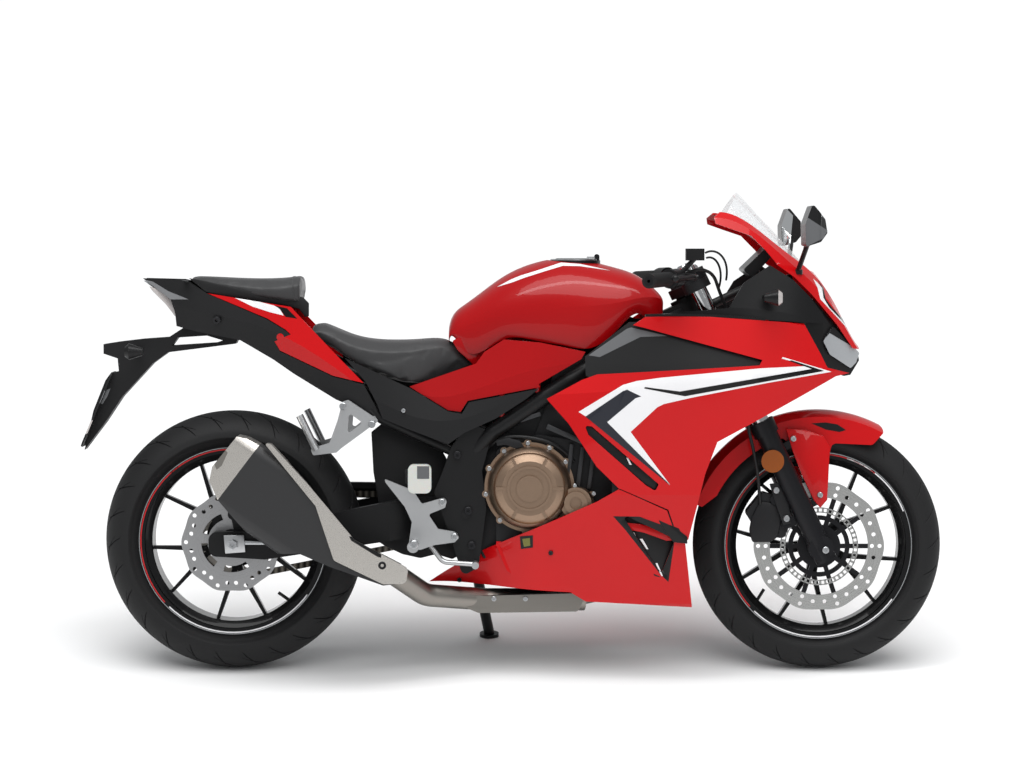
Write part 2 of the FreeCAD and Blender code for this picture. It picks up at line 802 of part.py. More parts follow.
# Steering head, fork and bars
def yoke_plate(up, thickness, stem_width, tube_hole):
    """A triple clamp: three rings joined by webs."""
    foot = up
    top = up + thickness
    rings = [rod(steering_point(foot), steering_point(top), stem_width)]
    for side in (-1, 1):
        rings.append(rod(fork_at(foot, 0, side * fork_leg_y), fork_at(top, 0, side * fork_leg_y),
                         fork_tube_radius + yoke_wall))
    outline = [
        fork_at(foot, -fork_offset - stem_width * 0.9, -stem_width * 0.5),
        fork_at(foot, -yoke_wall, -fork_leg_y),
        fork_at(foot, yoke_wall, -fork_leg_y),
        fork_at(foot, -fork_offset * 0.3, 0),
        fork_at(foot, yoke_wall, fork_leg_y),
        fork_at(foot, -yoke_wall, fork_leg_y),
        fork_at(foot, -fork_offset - stem_width * 0.9, stem_width * 0.5),
    ]
    web = Part.Face(rounded_wire(outline, yoke_wall)).extrude(up_fork * thickness)
    plate = joined(rings + [web])
    holes = [rod(fork_at(foot - overrun, 0, side * fork_leg_y), fork_at(top + overrun, 0, side * fork_leg_y),
                 tube_hole) for side in (-1, 1)]
    return plate.cut(holes)


def lower_yoke_foot():
    return head_tube_foot - yoke_gap - lower_yoke_thickness


def upper_yoke_foot():
    return head_tube_foot + head_tube_length + yoke_gap


def make_yokes():
    """Both triple clamps and the stem that turns in the head tube."""
    lower = yoke_plate(lower_yoke_foot(), lower_yoke_thickness, head_tube_radius, fork_tube_radius)
    upper = yoke_plate(upper_yoke_foot(), upper_yoke_thickness, head_tube_radius * 0.8, fork_tube_radius)
    stem = rod(steering_point(lower_yoke_foot()), steering_point(upper_yoke_foot() + upper_yoke_thickness),
               stem_radius)
    nut = rod(steering_point(upper_yoke_foot()), steering_point(upper_yoke_foot() + 1.6 * upper_yoke_thickness),
              stem_radius * 1.1)
    return joined([lower, upper, stem, nut])


def make_fork_tubes():
    """The upper tubes, from inside the sliders' mouths to the caps on top."""
    one = rod(fork_at(fork_leg_height, 0, -fork_leg_y), fork_at(fork_top, 0, -fork_leg_y), fork_tube_radius)
    cap = cone(fork_at(fork_top, 0, -fork_leg_y), fork_at(fork_top + overrun, 0, -fork_leg_y),
               fork_tube_radius * 0.8, fork_tube_radius * 0.6)
    return pair(joined([one, cap]))


caliper_bolt_ups = (86.0, 150.0)
caliper_ear_reach = 60.0
caliper_ear_height = 22.0
front_caliper_outer_y = 98.0
mudguard_bolt_ups = (103.0, 254.0)
mudguard_bolt_ahead = 58.0


def make_mudguard_tabs():
    """The flat tabs on the right slider that the mudguard bolts to."""
    tabs = []
    for up in mudguard_bolt_ups:
        outline = [fork_at(up - boss_radius, 0), fork_at(up - boss_radius, mudguard_bolt_ahead + boss_radius),
                   fork_at(up + boss_radius, mudguard_bolt_ahead + boss_radius), fork_at(up + boss_radius, 0)]
        inner = -along_y * (mudguard_half_width + seat_gap)
        face = Part.Face(rounded_wire([point + inner for point in outline], 0.8 * boss_radius))
        tabs.append(face.extrude(-along_y * (fork_leg_y - 0.6 * fork_leg_radius - mudguard_half_width)))
    return tabs


def make_fork_legs():
    """The black sliders with dust-seal collars, axle clamps and caliper ears, and the axle."""
    crown = fork_at(fork_leg_height, 0, -fork_leg_y)
    leg = rod(fork_at(-fork_leg_foot, 0, -fork_leg_y), crown, fork_leg_radius)
    collar = rod(fork_at(fork_leg_height - collar_height, 0, -fork_leg_y), crown, collar_radius)
    clamp = across_rod(front_axle, fork_leg_radius * 1.15, -fork_leg_y - fork_leg_radius * 0.9,
                       -fork_leg_y + fork_leg_radius * 0.9)
    half = [leg, collar, clamp] + make_mudguard_tabs()
    ears = []
    for up in caliper_bolt_ups:
        half_height = caliper_ear_height / 2
        outline = [fork_at(up - half_height, 0), fork_at(up - half_height, -caliper_ear_reach),
                   fork_at(up + half_height, -caliper_ear_reach), fork_at(up + half_height, 0)]
        inner = -front_caliper_outer_y - seat_gap
        points = [point + along_y * inner for point in outline]
        ears.append(Part.Face(rounded_wire(points, half_height * 0.8)).extrude(along_y * -bracket_thickness))
    axle = across_rod(front_axle, axle_radius, -fork_leg_y - fork_leg_radius, fork_leg_y + fork_leg_radius)
    whole = half + [mirrored(shape) for shape in half] + ears + [axle]
    return joined(whole)


front_caliper_half_length = 62.0
front_caliper_inner_b = -68.0
front_caliper_outer_b = -118.0
front_caliper_crown = 8.0
front_caliper_nose = 26.0


def make_front_caliper():
    """The two-piston body that straddles the disc behind the right fork leg."""
    mid = sum(caliper_bolt_ups) / 2
    inner = front_caliper_inner_b + front_caliper_nose
    outline = [
        fork_at(mid - front_caliper_half_length, front_caliper_inner_b),
        fork_at(mid - 0.5 * front_caliper_half_length, front_caliper_outer_b),
        fork_at(mid + 0.55 * front_caliper_half_length, front_caliper_outer_b - front_caliper_crown),
        fork_at(mid + front_caliper_half_length, front_caliper_inner_b),
        fork_at(mid + 0.6 * front_caliper_half_length, inner),
        fork_at(mid - 0.6 * front_caliper_half_length, inner),
    ]
    points = [point - along_y * front_caliper_outer_y for point in outline]
    depth = front_caliper_outer_y - front_disc_y + caliper_half_thickness
    body = Part.Face(rounded_wire(points, rail_radius)).extrude(along_y * depth)
    slot = across_rod(front_axle, front_disc_radius + pad_slot_gap,
                      -front_disc_y - disc_thickness / 2 - pad_slot_gap,
                      -front_disc_y + disc_thickness / 2 + pad_slot_gap)
    return body.cut(slot)


def bar_root(sign):
    return fork_at(upper_yoke_foot() + upper_yoke_thickness + bar_clamp_height / 2, 0, sign * fork_leg_y)


bar_end_shares = (0.700, 0.821)


def bar_end(sign):
    return at(bar_end_shares[0], bar_end_shares[1], sign * bar_end_y)


def bar_direction(sign):
    direction = bar_end(sign) - bar_root(sign)
    return direction.normalize()


def make_handlebars():
    """Two clip-on bars, each clamped round its fork tube above the yoke."""
    halves = []
    foot = upper_yoke_foot() + upper_yoke_thickness + seat_gap
    for sign in (-1, 1):
        ring = rod(fork_at(foot, 0, sign * fork_leg_y), fork_at(foot + bar_clamp_height, 0, sign * fork_leg_y),
                   fork_tube_radius + yoke_wall)
        bar = rod(bar_root(sign), bar_end(sign), bar_radius)
        half = joined([ring, bar])
        half = half.cut(rod(fork_at(foot - overrun, 0, sign * fork_leg_y),
                            fork_at(foot + bar_clamp_height + overrun, 0, sign * fork_leg_y), fork_tube_radius))
        end = bar_end(sign)
        thread = rod(end - bar_direction(sign) * bar_thread_depth, end + bar_direction(sign) * overrun,
                     bar_thread_radius)
        halves.append(half.cut(thread))
    return grouped(halves)


def make_grips():
    """The rubber grips and their flanges, sleeved on the bars."""
    pieces = []
    for sign in (-1, 1):
        end = bar_end(sign) - bar_direction(sign) * seat_gap
        start = end - bar_direction(sign) * grip_length
        sleeve = rod(start, end, grip_radius)
        flange = rod(start - bar_direction(sign) * overrun, start, grip_radius * 1.3)
        bore = rod(start - bar_direction(sign) * grip_length, end + bar_direction(sign) * overrun, bar_radius)
        pieces.append(joined([sleeve, flange]).cut(bore))
    return grouped(pieces)


switch_length = 40.0
switch_radius = 23.0
lever_radius = 6.0


def make_hand_controls():
    """Switch housings, lever brackets, the levers and the front brake's fluid box."""
    pieces = []
    for sign in (-1, 1):
        along = bar_direction(sign)
        outer = bar_end(sign) - along * (grip_length + overrun + 2 * seat_gap)
        inner = outer - along * switch_length
        housing = rod(inner, outer, switch_radius)
        perch_start = inner - along * (switch_length * 0.45)
        perch = rod(perch_start, inner, switch_radius * 0.8)
        ahead = FreeCAD.Vector(ahead_fork.x, 0, ahead_fork.z * 0.2).normalize()
        pivot = perch_start + ahead * (switch_radius * 1.9) + along * (switch_length * 0.3)
        arm = rod(perch_start + along * (switch_length * 0.2), pivot, lever_radius * 1.5)
        tip = bar_end(sign) + ahead * (switch_radius * 2.6) - along * overrun
        middle = pivot + (tip - pivot) * 0.35 + ahead * (switch_radius * 0.5)
        lever = bent_rod([pivot, middle, tip], lever_radius, 3 * lever_radius)
        ball = Part.makeSphere(lever_radius * 1.5, tip)
        parts = [housing, perch, arm, lever, ball]
        half = joined(parts)
        pieces.append(half.cut(rod(perch_start - along * switch_length, outer + along * overrun, bar_radius)))
    return grouped(pieces)


fluid_box_radius = 22.0
fluid_box_height = 28.0
fluid_box_share = 0.375
fluid_box_ahead = 44.0
fluid_box_rise = 42.0


def make_front_reservoir():
    """The front brake's flat fluid box, on a neck that leans forward from a clamp on the right bar."""
    along = bar_direction(-1)
    base = bar_root(-1) + along * (fluid_box_share * (bar_end(-1) - bar_root(-1)).Length)
    foot = base + along_x * fluid_box_ahead + along_z * fluid_box_rise
    outline = [
        (foot.x - fluid_box_radius, foot.y - 0.8 * fluid_box_radius),
        (foot.x + fluid_box_radius, foot.y - 0.8 * fluid_box_radius),
        (foot.x + fluid_box_radius, foot.y + 0.8 * fluid_box_radius),
        (foot.x - fluid_box_radius, foot.y + 0.8 * fluid_box_radius),
    ]
    box = plan_prism(outline, foot.z, foot.z + fluid_box_height, overrun)
    ring = rod(base - along * lever_radius, base + along * lever_radius, bar_radius + overrun)
    neck = rod(base, foot + along_z * overrun, lever_radius)
    whole = joined([box, ring, neck])
    return whole.cut(rod(base - along * switch_length, base + along * switch_length, bar_radius))


# Front brake hose
hose_radius = 4.0
hose_points = [
    (1082.0, -181.0, 956.0), (1116.0, -170.0, 968.0), (1150.0, -140.0, 955.0), (1168.0, -118.0, 905.0),
    (1190.0, -112.0, 858.0), (1212.0, -112.0, 812.0), (1238.0, -122.0, 750.0), (1243.0, -135.0, 690.0),
    (1238.0, -138.0, 640.0), (1232.0, -136.0, 596.0), (1256.0, -122.0, 500.0), (1266.0, -101.0, 403.0),
]


def make_front_brake_hose():
    """The rubber hose from the lever's pump, down ahead of the fork leg and back to the caliper."""
    points = [FreeCAD.Vector(*point) for point in hose_points]
    return bent_rod(points, hose_radius, wheelbase)


# Front mudguard
mudguard_inner_radius = 312.0
mudguard_crown = 14.0
mudguard_half_width = 76.0
mudguard_shares = [
    (0.936, 0.531), (0.950, 0.60), (0.988, 0.60), (1.053, 0.60), (1.112, 0.505), (1.090, 0.475),
    (1.021, 0.479), (1.016, 0.451), (1.012, 0.365), (1.003, 0.345), (0.992, 0.371), (0.958, 0.470),
    (0.925, 0.500),
]
mudguard_rear_shares = [
    (0.925, 0.500), (0.958, 0.470), (0.945, 0.430), (0.918, 0.455), (0.80, 0.345), (0.77, 0.36), (0.80, 0.45),
    (0.88, 0.58), (0.950, 0.60), (0.936, 0.531),
]


def arch_band(inner_radius, thickness, wall_depth):
    """A hoop round the front tyre: crowned top and side walls."""
    half = mudguard_half_width
    crown = inner_radius + mudguard_crown
    wall = inner_radius - wall_depth
    outer = [(-half, wall), (-half, inner_radius), (0, crown), (half, inner_radius), (half, wall)]
    edge = half - thickness
    bend = inner_radius - thickness * 0.5
    inner = [(edge, wall), (edge, bend), (0, crown - thickness), (-edge, bend), (-edge, wall)]
    runs = [
        [outer[0], outer[1]], [outer[1], outer[2], outer[3]], [outer[3], outer[4]], [outer[4], inner[0]],
        [inner[0], inner[1]], [inner[1], inner[2], inner[3]], [inner[3], inner[4]], [inner[4], outer[0]],
    ]
    return revolved(runs, front_axle)


def make_front_mudguard():
    """The red guard with side lobes that reach down ahead of the fork legs."""
    hoop = arch_band(mudguard_inner_radius, panel_thickness, mudguard_inner_radius * 0.75)
    outline = prism(mudguard_shares, -front_tyre_width, front_tyre_width, rail_radius)
    return hoop.common(outline)


def make_mudguard_flap():
    """The black rear half of the guard, behind the fork legs."""
    hoop = arch_band(mudguard_inner_radius, panel_thickness, mudguard_inner_radius * 0.12)
    outline = prism(mudguard_rear_shares, -front_tyre_width, front_tyre_width)
    front = prism(mudguard_shares, -front_tyre_width, front_tyre_width, rail_radius)
    return hoop.common(outline).cut(front)


reflector_radius = 27.0
reflector_thickness = 9.0
reflector_up = 240.0


def make_reflectors():
    """Round amber reflectors on the outside of the sliders."""
    place = fork_at(reflector_up, -reflector_radius * 0.6, -fork_leg_y - fork_leg_radius)
    disc = Part.makeCylinder(reflector_radius, reflector_thickness, place, along_y * -1)
    arm = block(place - FreeCAD.Vector(lever_radius, 0, lever_radius),
                place + FreeCAD.Vector(lever_radius, fork_leg_radius, lever_radius))
    leg = rod(fork_at(0, 0, -fork_leg_y), fork_at(fork_top, 0, -fork_leg_y), fork_leg_radius)
    return pair(joined([disc, arm]).cut(leg))


# Engine
case_shares = [
    (0.450, 0.270), (0.450, 0.470), (0.520, 0.500), (0.640, 0.475), (0.660, 0.400), (0.645, 0.270),
    (0.590, 0.208), (0.470, 0.208),
]
case_front_shares = [
    (0.505, 0.270), (0.505, 0.480), (0.520, 0.500), (0.640, 0.475), (0.660, 0.400), (0.645, 0.270),
    (0.590, 0.208), (0.520, 0.208),
]
cylinder_shares = [(0.505, 0.465), (0.632, 0.440), (0.668, 0.575), (0.548, 0.600)]
head_shares = [(0.540, 0.595), (0.672, 0.568), (0.690, 0.640), (0.668, 0.662), (0.575, 0.668), (0.552, 0.650)]
sump_shares = [(0.452, 0.215), (0.462, 0.190), (0.570, 0.182), (0.590, 0.215)]
clutch_shares = (0.506, 0.391)
small_cover_shares = (0.588, 0.357)
alternator_shares = (0.585, 0.350)
clutch_bolt_degrees = (35, 63, 92, 125, 155, 189, 228, 265)
clutch_bolt_circle = 105.0
airbox_shares = [(0.458, 0.455), (0.452, 0.518), (0.498, 0.560), (0.550, 0.600), (0.560, 0.480)]


def make_engine_block():
    """Crankcase, inclined twin cylinder block and head, and sump."""
    right = prism(case_shares, -case_right_y, case_left_y, spar_radius)
    left = prism(case_front_shares, 0, case_left_front_y, spar_radius)
    cylinder = prism(cylinder_shares, -cylinder_half_width, cylinder_half_width, rail_radius)
    head = prism(head_shares, -cylinder_half_width - overrun, cylinder_half_width + overrun, rail_radius)
    intake = prism(airbox_shares, -0.92 * cylinder_half_width, 0.92 * cylinder_half_width, rail_radius)
    sump = prism(sump_shares, -case_left_y, case_left_y, rail_radius)
    generator = across_rod(at(*alternator_shares), alternator_radius, case_left_y,
                           case_left_front_y + alternator_depth)
    shaft = across_rod(front_sprocket_centre(), axle_radius, 0, chain_y - sprocket_thickness / 2)
    sprocket = make_sprocket(front_sprocket_centre(), front_teeth, chain_y)
    return joined([right, left, cylinder, head, intake, sump, generator, shaft, sprocket])


def make_engine_covers():
    """The two bronze covers: a domed clutch cover with ribs and flange ears, and a small round one."""
    centre = at(*clutch_shares)
    face = -case_right_y
    flange_depth = 0.2 * clutch_cover_depth
    flange = across_rod(centre, clutch_flange_radius, face - flange_depth, face)
    ears = []
    for angle in clutch_bolt_degrees:
        turn = math.radians(angle)
        place = centre + FreeCAD.Vector(math.cos(turn), 0, math.sin(turn)) * clutch_bolt_circle
        ears.append(across_rod(place, boss_radius, face - flange_depth, face))
    wall = cone(centre + along_y * (face - flange_depth), centre + along_y * (face - 0.75 * clutch_cover_depth),
                clutch_flange_radius - clutch_rib_width, clutch_dome_radius)
    step = cone(centre + along_y * (face - 0.75 * clutch_cover_depth),
                centre + along_y * (face - 0.9 * clutch_cover_depth), clutch_dome_radius, 0.75 * clutch_dome_radius)
    ring = across_rod(centre, 0.62 * clutch_dome_radius, face - 0.97 * clutch_cover_depth, face)
    hollow = across_rod(centre, 0.55 * clutch_dome_radius, face - 1.1 * clutch_cover_depth,
                        face - 0.9 * clutch_cover_depth)
    plug = across_rod(centre, 0.36 * clutch_dome_radius, face - clutch_cover_depth, face)
    ribs = []
    for i in range(6):
        rib = block(centre + FreeCAD.Vector(-clutch_rib_width / 2, face - 0.93 * clutch_cover_depth, 0),
                    centre + FreeCAD.Vector(clutch_rib_width / 2, face, 0.93 * clutch_dome_radius))
        rib.rotate(centre, along_y, 30 + i * 60)
        ribs.append(rib)
    big = joined([flange, wall, step, ring] + ears + ribs).cut(hollow)
    big = joined([big, plug])
    small = at(*small_cover_shares)
    lid = across_rod(small, small_cover_radius, face - 0.7 * small_cover_depth, face)
    lid_face = face - 0.7 * small_cover_depth
    crown = small + along_y * (face - small_cover_depth)
    dome = cone(small + along_y * lid_face, crown, small_cover_radius, 0.8 * small_cover_radius)
    ear_face = face - 0.4 * small_cover_depth
    rim = ring_of_holes(small, small_cover_radius, clutch_rib_width, 3, 0.6, ear_face, face)
    little = joined([lid, dome] + rim)
    room = clutch_bolt_circle + boss_radius + seat_gap
    little = little.cut(across_rod(centre, room, -2 * case_right_y, face))
    return grouped([big, little])


def make_sprocket_cover():
    """The black cover over the front sprocket on the left."""
    shares = [(0.438, 0.270), (0.438, 0.375), (0.503, 0.380), (0.503, 0.270)]
    outer = chain_y + chain_width / 2 + 3 * panel_thickness
    shell = prism(shares, case_left_y, outer, spar_radius)
    centre = front_sprocket_centre()
    hollow = across_rod(centre, pitch_radius(front_teeth) + chain_plate_height, case_left_y - overrun,
                        outer - panel_thickness)
    low = FreeCAD.Vector(-bike_height, case_left_y - overrun - centre.y, -3 * spar_radius)
    high = FreeCAD.Vector(0, outer - panel_thickness - centre.y, 3 * spar_radius)
    mouth = block(centre + low, centre + high)
    return shell.cut([hollow, mouth])


# Radiator
radiator_shares = [(0.702, 0.392), (0.728, 0.388), (0.752, 0.610), (0.726, 0.614)]
radiator_half_width = 148.0


def make_radiator():
    core = prism(radiator_shares, -radiator_half_width, radiator_half_width, 2 * panel_thickness)
    tank_shares = [(0.699, 0.387), (0.731, 0.383), (0.756, 0.614), (0.723, 0.619)]
    tank = prism(tank_shares, -radiator_half_width - spar_radius, -radiator_half_width, 2 * panel_thickness)
    return joined([core, tank, mirrored(tank)])


# Exhaust
muffler_inlet_shares = (0.268, 0.225)
header_path_shares = [(0.676, 0.595), (0.700, 0.560), (0.694, 0.380), (0.668, 0.172), (0.58, 0.145)]
collector_path_shares = [(0.600, 0.145), (0.43, 0.150), (0.33, 0.165), (0.268, 0.225)]
collector_y_places = (-20.0, -70.0, -130.0, -197.0)


def make_exhaust_pipe():
    """Two header pipes that meet under the engine, and the pipe back to the muffler."""
    headers = []
    for sign in (-1, 1):
        y_places = [sign * header_y] * 3 + [sign * header_y * 0.6, sign * header_y * 0.2]
        points = [at(u, v, y) for (u, v), y in zip(header_path_shares, y_places)]
        headers.append(bent_rod(points, header_radius, 2.5 * header_radius))
    points = [at(u, v, y) for (u, v), y in zip(collector_path_shares, collector_y_places)]
    collector = bent_rod(points, collector_radius, 2.5 * collector_radius)
    box_shares = [(0.39, 0.140), (0.40, 0.160), (0.58, 0.166), (0.60, 0.160), (0.59, 0.128), (0.42, 0.125)]
    chamber = prism(box_shares, -clutch_flange_radius, clutch_dome_radius * 0.3, rail_radius)
    return joined(headers + [collector, chamber])


muffler_shares = [
    (0.056, 0.484), (0.080, 0.459), (0.134, 0.392), (0.180, 0.300), (0.262, 0.250), (0.290, 0.232),
    (0.290, 0.200), (0.262, 0.196), (0.172, 0.235), (0.121, 0.262), (0.064, 0.258), (-0.013, 0.372),
]
muffler_cap_shares = [
    (0.019, 0.502), (0.036, 0.497), (0.056, 0.484), (-0.013, 0.372), (-0.027, 0.411), (-0.022, 0.440),
]
shield_shares = [
    (0.065, 0.489), (0.076, 0.487), (0.135, 0.408), (0.215, 0.290), (0.304, 0.232), (0.300, 0.200),
    (0.262, 0.199), (0.180, 0.248), (0.150, 0.360),
]


def rounded_box_along(start, end, half_y, half_z, y_middle, radius):
    """A rounded bar along a slanted line, used to round off the muffler's corners."""
    direction = (end - start).normalize()
    up = along_y.cross(direction)
    corners = [(-1, -1), (1, -1), (1, 1), (-1, 1)]
    points = [start + along_y * (y_middle + a * half_y) + up * (b * half_z) for a, b in corners]
    return Part.Face(rounded_wire(points, radius)).extrude(direction * (end - start).Length)


def muffler_envelope(extra):
    start = at(-0.10, 0.52)
    end = at(0.33, 0.155)
    middle = -muffler_inner_y - muffler_width / 2
    half = muffler_width / 2 + extra
    return rounded_box_along(start, end, half, muffler_width + extra, middle, muffler_width * 0.35)


def make_muffler():
    body = prism(muffler_shares, -muffler_inner_y - muffler_width, -muffler_inner_y)
    return body.common(muffler_envelope(0))


def make_muffler_cap():
    body = prism(muffler_cap_shares, -muffler_inner_y - muffler_width, -muffler_inner_y)
    body = body.common(muffler_envelope(0))
    outlet = rod(at(-0.10, 0.43, -muffler_inner_y - muffler_width / 2),
                 at(0.0, 0.43, -muffler_inner_y - muffler_width / 2), header_radius)
    return body.cut(outlet)


def make_muffler_shield():
    """The brushed cover along the muffler's outer front edge."""
    outer = -muffler_inner_y - muffler_width - shield_thickness
    body = prism(shield_shares, outer, outer + 0.35 * muffler_width, rail_radius)
    inner = muffler_envelope(seat_gap)
    return body.cut([inner, make_muffler()]).Solids[0]


# Bodywork
cowl_stations = [
    (0.33, [(0.34, 0.115), (0.44, 0.150), (0.63, 0.380), (0.67, 0.575), (0.56, 0.700), (0.46, 0.720)]),
    (0.50, [(0.42, 0.115), (0.55, 0.150), (0.78, 0.380), (0.82, 0.580), (0.66, 0.715), (0.55, 0.735)]),
    (0.60, [(0.46, 0.115), (0.61, 0.150), (0.84, 0.380), (0.90, 0.590), (0.72, 0.735), (0.60, 0.755)]),
    (0.70, [(0.48, 0.115), (0.65, 0.150), (0.88, 0.380), (0.96, 0.600), (0.78, 0.745), (0.66, 0.765)]),
    (0.80, [(0.50, 0.115), (0.69, 0.150), (0.92, 0.380), (1.00, 0.612), (0.83, 0.745), (0.70, 0.765)]),
    (0.90, [(0.46, 0.115), (0.63, 0.150), (0.86, 0.380), (0.95, 0.622), (0.80, 0.740), (0.68, 0.760)]),
    (1.00, [(0.40, 0.115), (0.55, 0.150), (0.67, 0.380), (0.78, 0.632), (0.67, 0.715), (0.55, 0.735)]),
    (1.08, [(0.28, 0.115), (0.38, 0.150), (0.40, 0.380), (0.46, 0.640), (0.40, 0.690), (0.32, 0.710)]),
]
side_cowl_shares = [
    (0.679, 0.729), (0.701, 0.747), (0.799, 0.747), (0.966, 0.732), (0.993, 0.671), (1.005, 0.641),
    (1.044, 0.629), (1.020, 0.623), (0.819, 0.490), (0.799, 0.424), (0.772, 0.286), (0.756, 0.286),
    (0.738, 0.349), (0.673, 0.384), (0.655, 0.393), (0.618, 0.438), (0.571, 0.527), (0.537, 0.574),
    (0.535, 0.578), (0.594, 0.617), (0.619, 0.628), (0.663, 0.631), (0.889, 0.647), (0.894, 0.658),
    (0.702, 0.722),
]
slot_shares = [(0.598, 0.523), (0.610, 0.521), (0.722, 0.402), (0.716, 0.388), (0.700, 0.400), (0.604, 0.504)]
duct_shares = [
    (0.599, 0.664), (0.673, 0.735), (0.706, 0.735), (0.900, 0.665), (0.896, 0.632), (0.663, 0.616),
    (0.619, 0.613), (0.600, 0.625),
]
duct_lugs = [(0.700, 0.624), (0.860, 0.639)]
lower_cowl_shares = [
    (0.336, 0.191), (0.379, 0.222), (0.421, 0.253), (0.474, 0.285), (0.619, 0.365), (0.655, 0.391),
    (0.673, 0.382), (0.736, 0.347), (0.754, 0.284), (0.767, 0.280), (0.780, 0.142), (0.601, 0.153),
    (0.575, 0.173), (0.412, 0.184),
]
lower_vent_shares = [(0.660, 0.340), (0.728, 0.300), (0.750, 0.286), (0.728, 0.215), (0.706, 0.250)]
cowl_depth = 260.0
side_cowl_head_lug = (0.635, 0.600)
side_cowl_radiator_lug = (0.741, 0.560)
lower_cowl_lugs = [(0.560, 0.270), (0.625, 0.300)]
stand_notch_share = 0.50


def cowl_skin():
    return skin(cowl_half_width, cowl_stations, panel_thickness)


def make_side_cowl(wall):
    """The big red side panel: its thin strip under the duct, and the blade down beside the engine."""
    panel = wall.common(prism(side_cowl_shares, -cowl_depth, 0))
    panel = panel.cut(prism(slot_shares, -cowl_depth, 0, overrun))
    outside = outside_of(cowl_half_width, cowl_stations)
    to_head = lug(*side_cowl_head_lug, cylinder_half_width + overrun, outside)
    to_radiator = lug(*side_cowl_radiator_lug, radiator_half_width + spar_radius, outside)
    return joined([panel, to_head, to_radiator])


def make_lower_cowl(wall):
    """The belly panel with its triangular vent."""
    panel = wall.common(prism(lower_cowl_shares, -cowl_depth, 0))
    panel = panel.cut(prism(side_cowl_shares, -cowl_depth, 0))
    panel = panel.cut(prism(lower_vent_shares, -cowl_depth, 0, overrun))
    outside = outside_of(cowl_half_width, cowl_stations)
    lugs = [lug(u, v, case_right_y, outside) for u, v in lower_cowl_lugs]
    return joined([panel] + lugs)


def make_duct_panel(wall):
    """The black recessed panel between tank and side cowl."""
    moved = wall.copy()
    moved.translate(along_y * (3 * panel_thickness))
    panel = moved.common(prism(duct_shares, -cowl_depth, 0))
    inner = outside_of(cowl_half_width, cowl_stations)
    inner.translate(along_y * panel_thickness)
    return joined([panel] + [lug(u, v, 0.4 * cowl_half_width, inner).common(
        skin(cowl_half_width, cowl_stations, 4 * panel_thickness)) for u, v in duct_lugs])


cockpit_stations = [
    (0.69, [(0.84, 0.740), (0.80, 0.765), (0.74, 0.80), (0.70, 0.87)]),
    (0.80, [(0.98, 0.735), (0.96, 0.765), (0.90, 0.81), (0.82, 0.88)]),
    (0.90, [(1.08, 0.725), (1.06, 0.760), (1.00, 0.81), (0.92, 0.88)]),
    (0.97, [(0.98, 0.715), (0.96, 0.745), (0.92, 0.79), (0.86, 0.86)]),
    (1.03, [(0.72, 0.700), (0.70, 0.725), (0.66, 0.76), (0.60, 0.82)]),
]
cockpit_trim_stations = [
    (0.700, [(0.600, 0.751), (0.775, 0.751)]), (0.800, [(0.700, 0.751), (0.822, 0.751)]),
    (0.900, [(0.775, 0.743), (0.806, 0.743)]),
]
cockpit_shares = [
    (0.702, 0.749), (0.799, 0.749), (0.966, 0.734), (1.010, 0.732), (0.978, 0.785), (0.948, 0.822),
    (0.909, 0.852), (0.865, 0.816), (0.840, 0.764),
]


def make_cockpit_panels():
    """The black panels beside the instruments, with the trim strip that joins them to the side cowls."""
    wall = skin(nose_half_width, cockpit_stations, panel_thickness)
    panel = wall.common(prism(cockpit_shares, -cowl_depth, 0))
    trim = skin(cowl_half_width, cockpit_trim_stations, 0, 1.4 * panel_thickness)
    return pair(joined([panel, trim]))


upper_cowl_stations = [
    (0.812, [(0.96, 0.930), (0.86, 0.950), (0.74, 0.960)], 0.965),
    (0.851, [(0.99, 0.905), (0.89, 0.942), (0.75, 0.955)], 0.962),
    (0.894, [(1.00, 0.870), (0.90, 0.910), (0.73, 0.922)], 0.930),
    (0.943, [(0.96, 0.815), (0.86, 0.858), (0.66, 0.875)], 0.886),
    (0.986, [(0.86, 0.765), (0.73, 0.812), (0.50, 0.834)], 0.845),
    (1.028, [(0.66, 0.705), (0.54, 0.750), (0.28, 0.767)], 0.772),
    (1.070, [(0.44, 0.650), (0.34, 0.668), (0.16, 0.677)], 0.681),
]
upper_cowl_shares = [
    (0.816, 0.951), (0.838, 0.975), (0.892, 0.99), (0.981, 0.99), (1.09, 0.85), (1.069, 0.675),
    (1.055, 0.678), (1.026, 0.728), (0.981, 0.791), (0.951, 0.827), (0.922, 0.852), (0.902, 0.882),
    (0.877, 0.913), (0.848, 0.925), (0.818, 0.938),
]


def arch_shell(stations, half_width, thickness):
    """A thin arch across the bike, lofted along it from right-hand chains and a middle height."""
    wires = []
    for u, chain, middle_v in stations:
        right = [at(u, v, -share * half_width) for share, v in chain]
        left = [at(u, v, share * half_width) for share, v in chain]
        outer = right + [at(u, middle_v)] + left[::-1]
        inner = []
        for point in outer:
            pull = thickness if point.y < 0 else (-thickness if point.y > 0 else 0)
            inner.append(point + FreeCAD.Vector(0, pull, -thickness))
        wires.append(Part.makePolygon(outer + inner[::-1] + [outer[0]]))
    return Part.makeLoft(wires, True, False)


screen_hole_places = [(0.78, 0.69), (0.86, 0.69), (0.90, 0.67), (0.95, 0.58), (0.982, 0.42), (0.992, 0.0)]


def screen_hole():
    """The opening in the upper cowl that the windscreen stands in, seen from above."""
    right = [(u * wheelbase, -share * nose_half_width) for u, share in screen_hole_places]
    left = [(x, -y) for x, y in right[:-1]]
    return plan_prism(right + left[::-1], 0, 2 * bike_height, 0)


def make_upper_cowl():
    """The red band round the windscreen that runs down to the pointed nose."""
    shell = arch_shell(upper_cowl_stations, nose_half_width, panel_thickness)
    return shell.common(prism(upper_cowl_shares, -cowl_depth, cowl_depth)).cut(screen_hole())


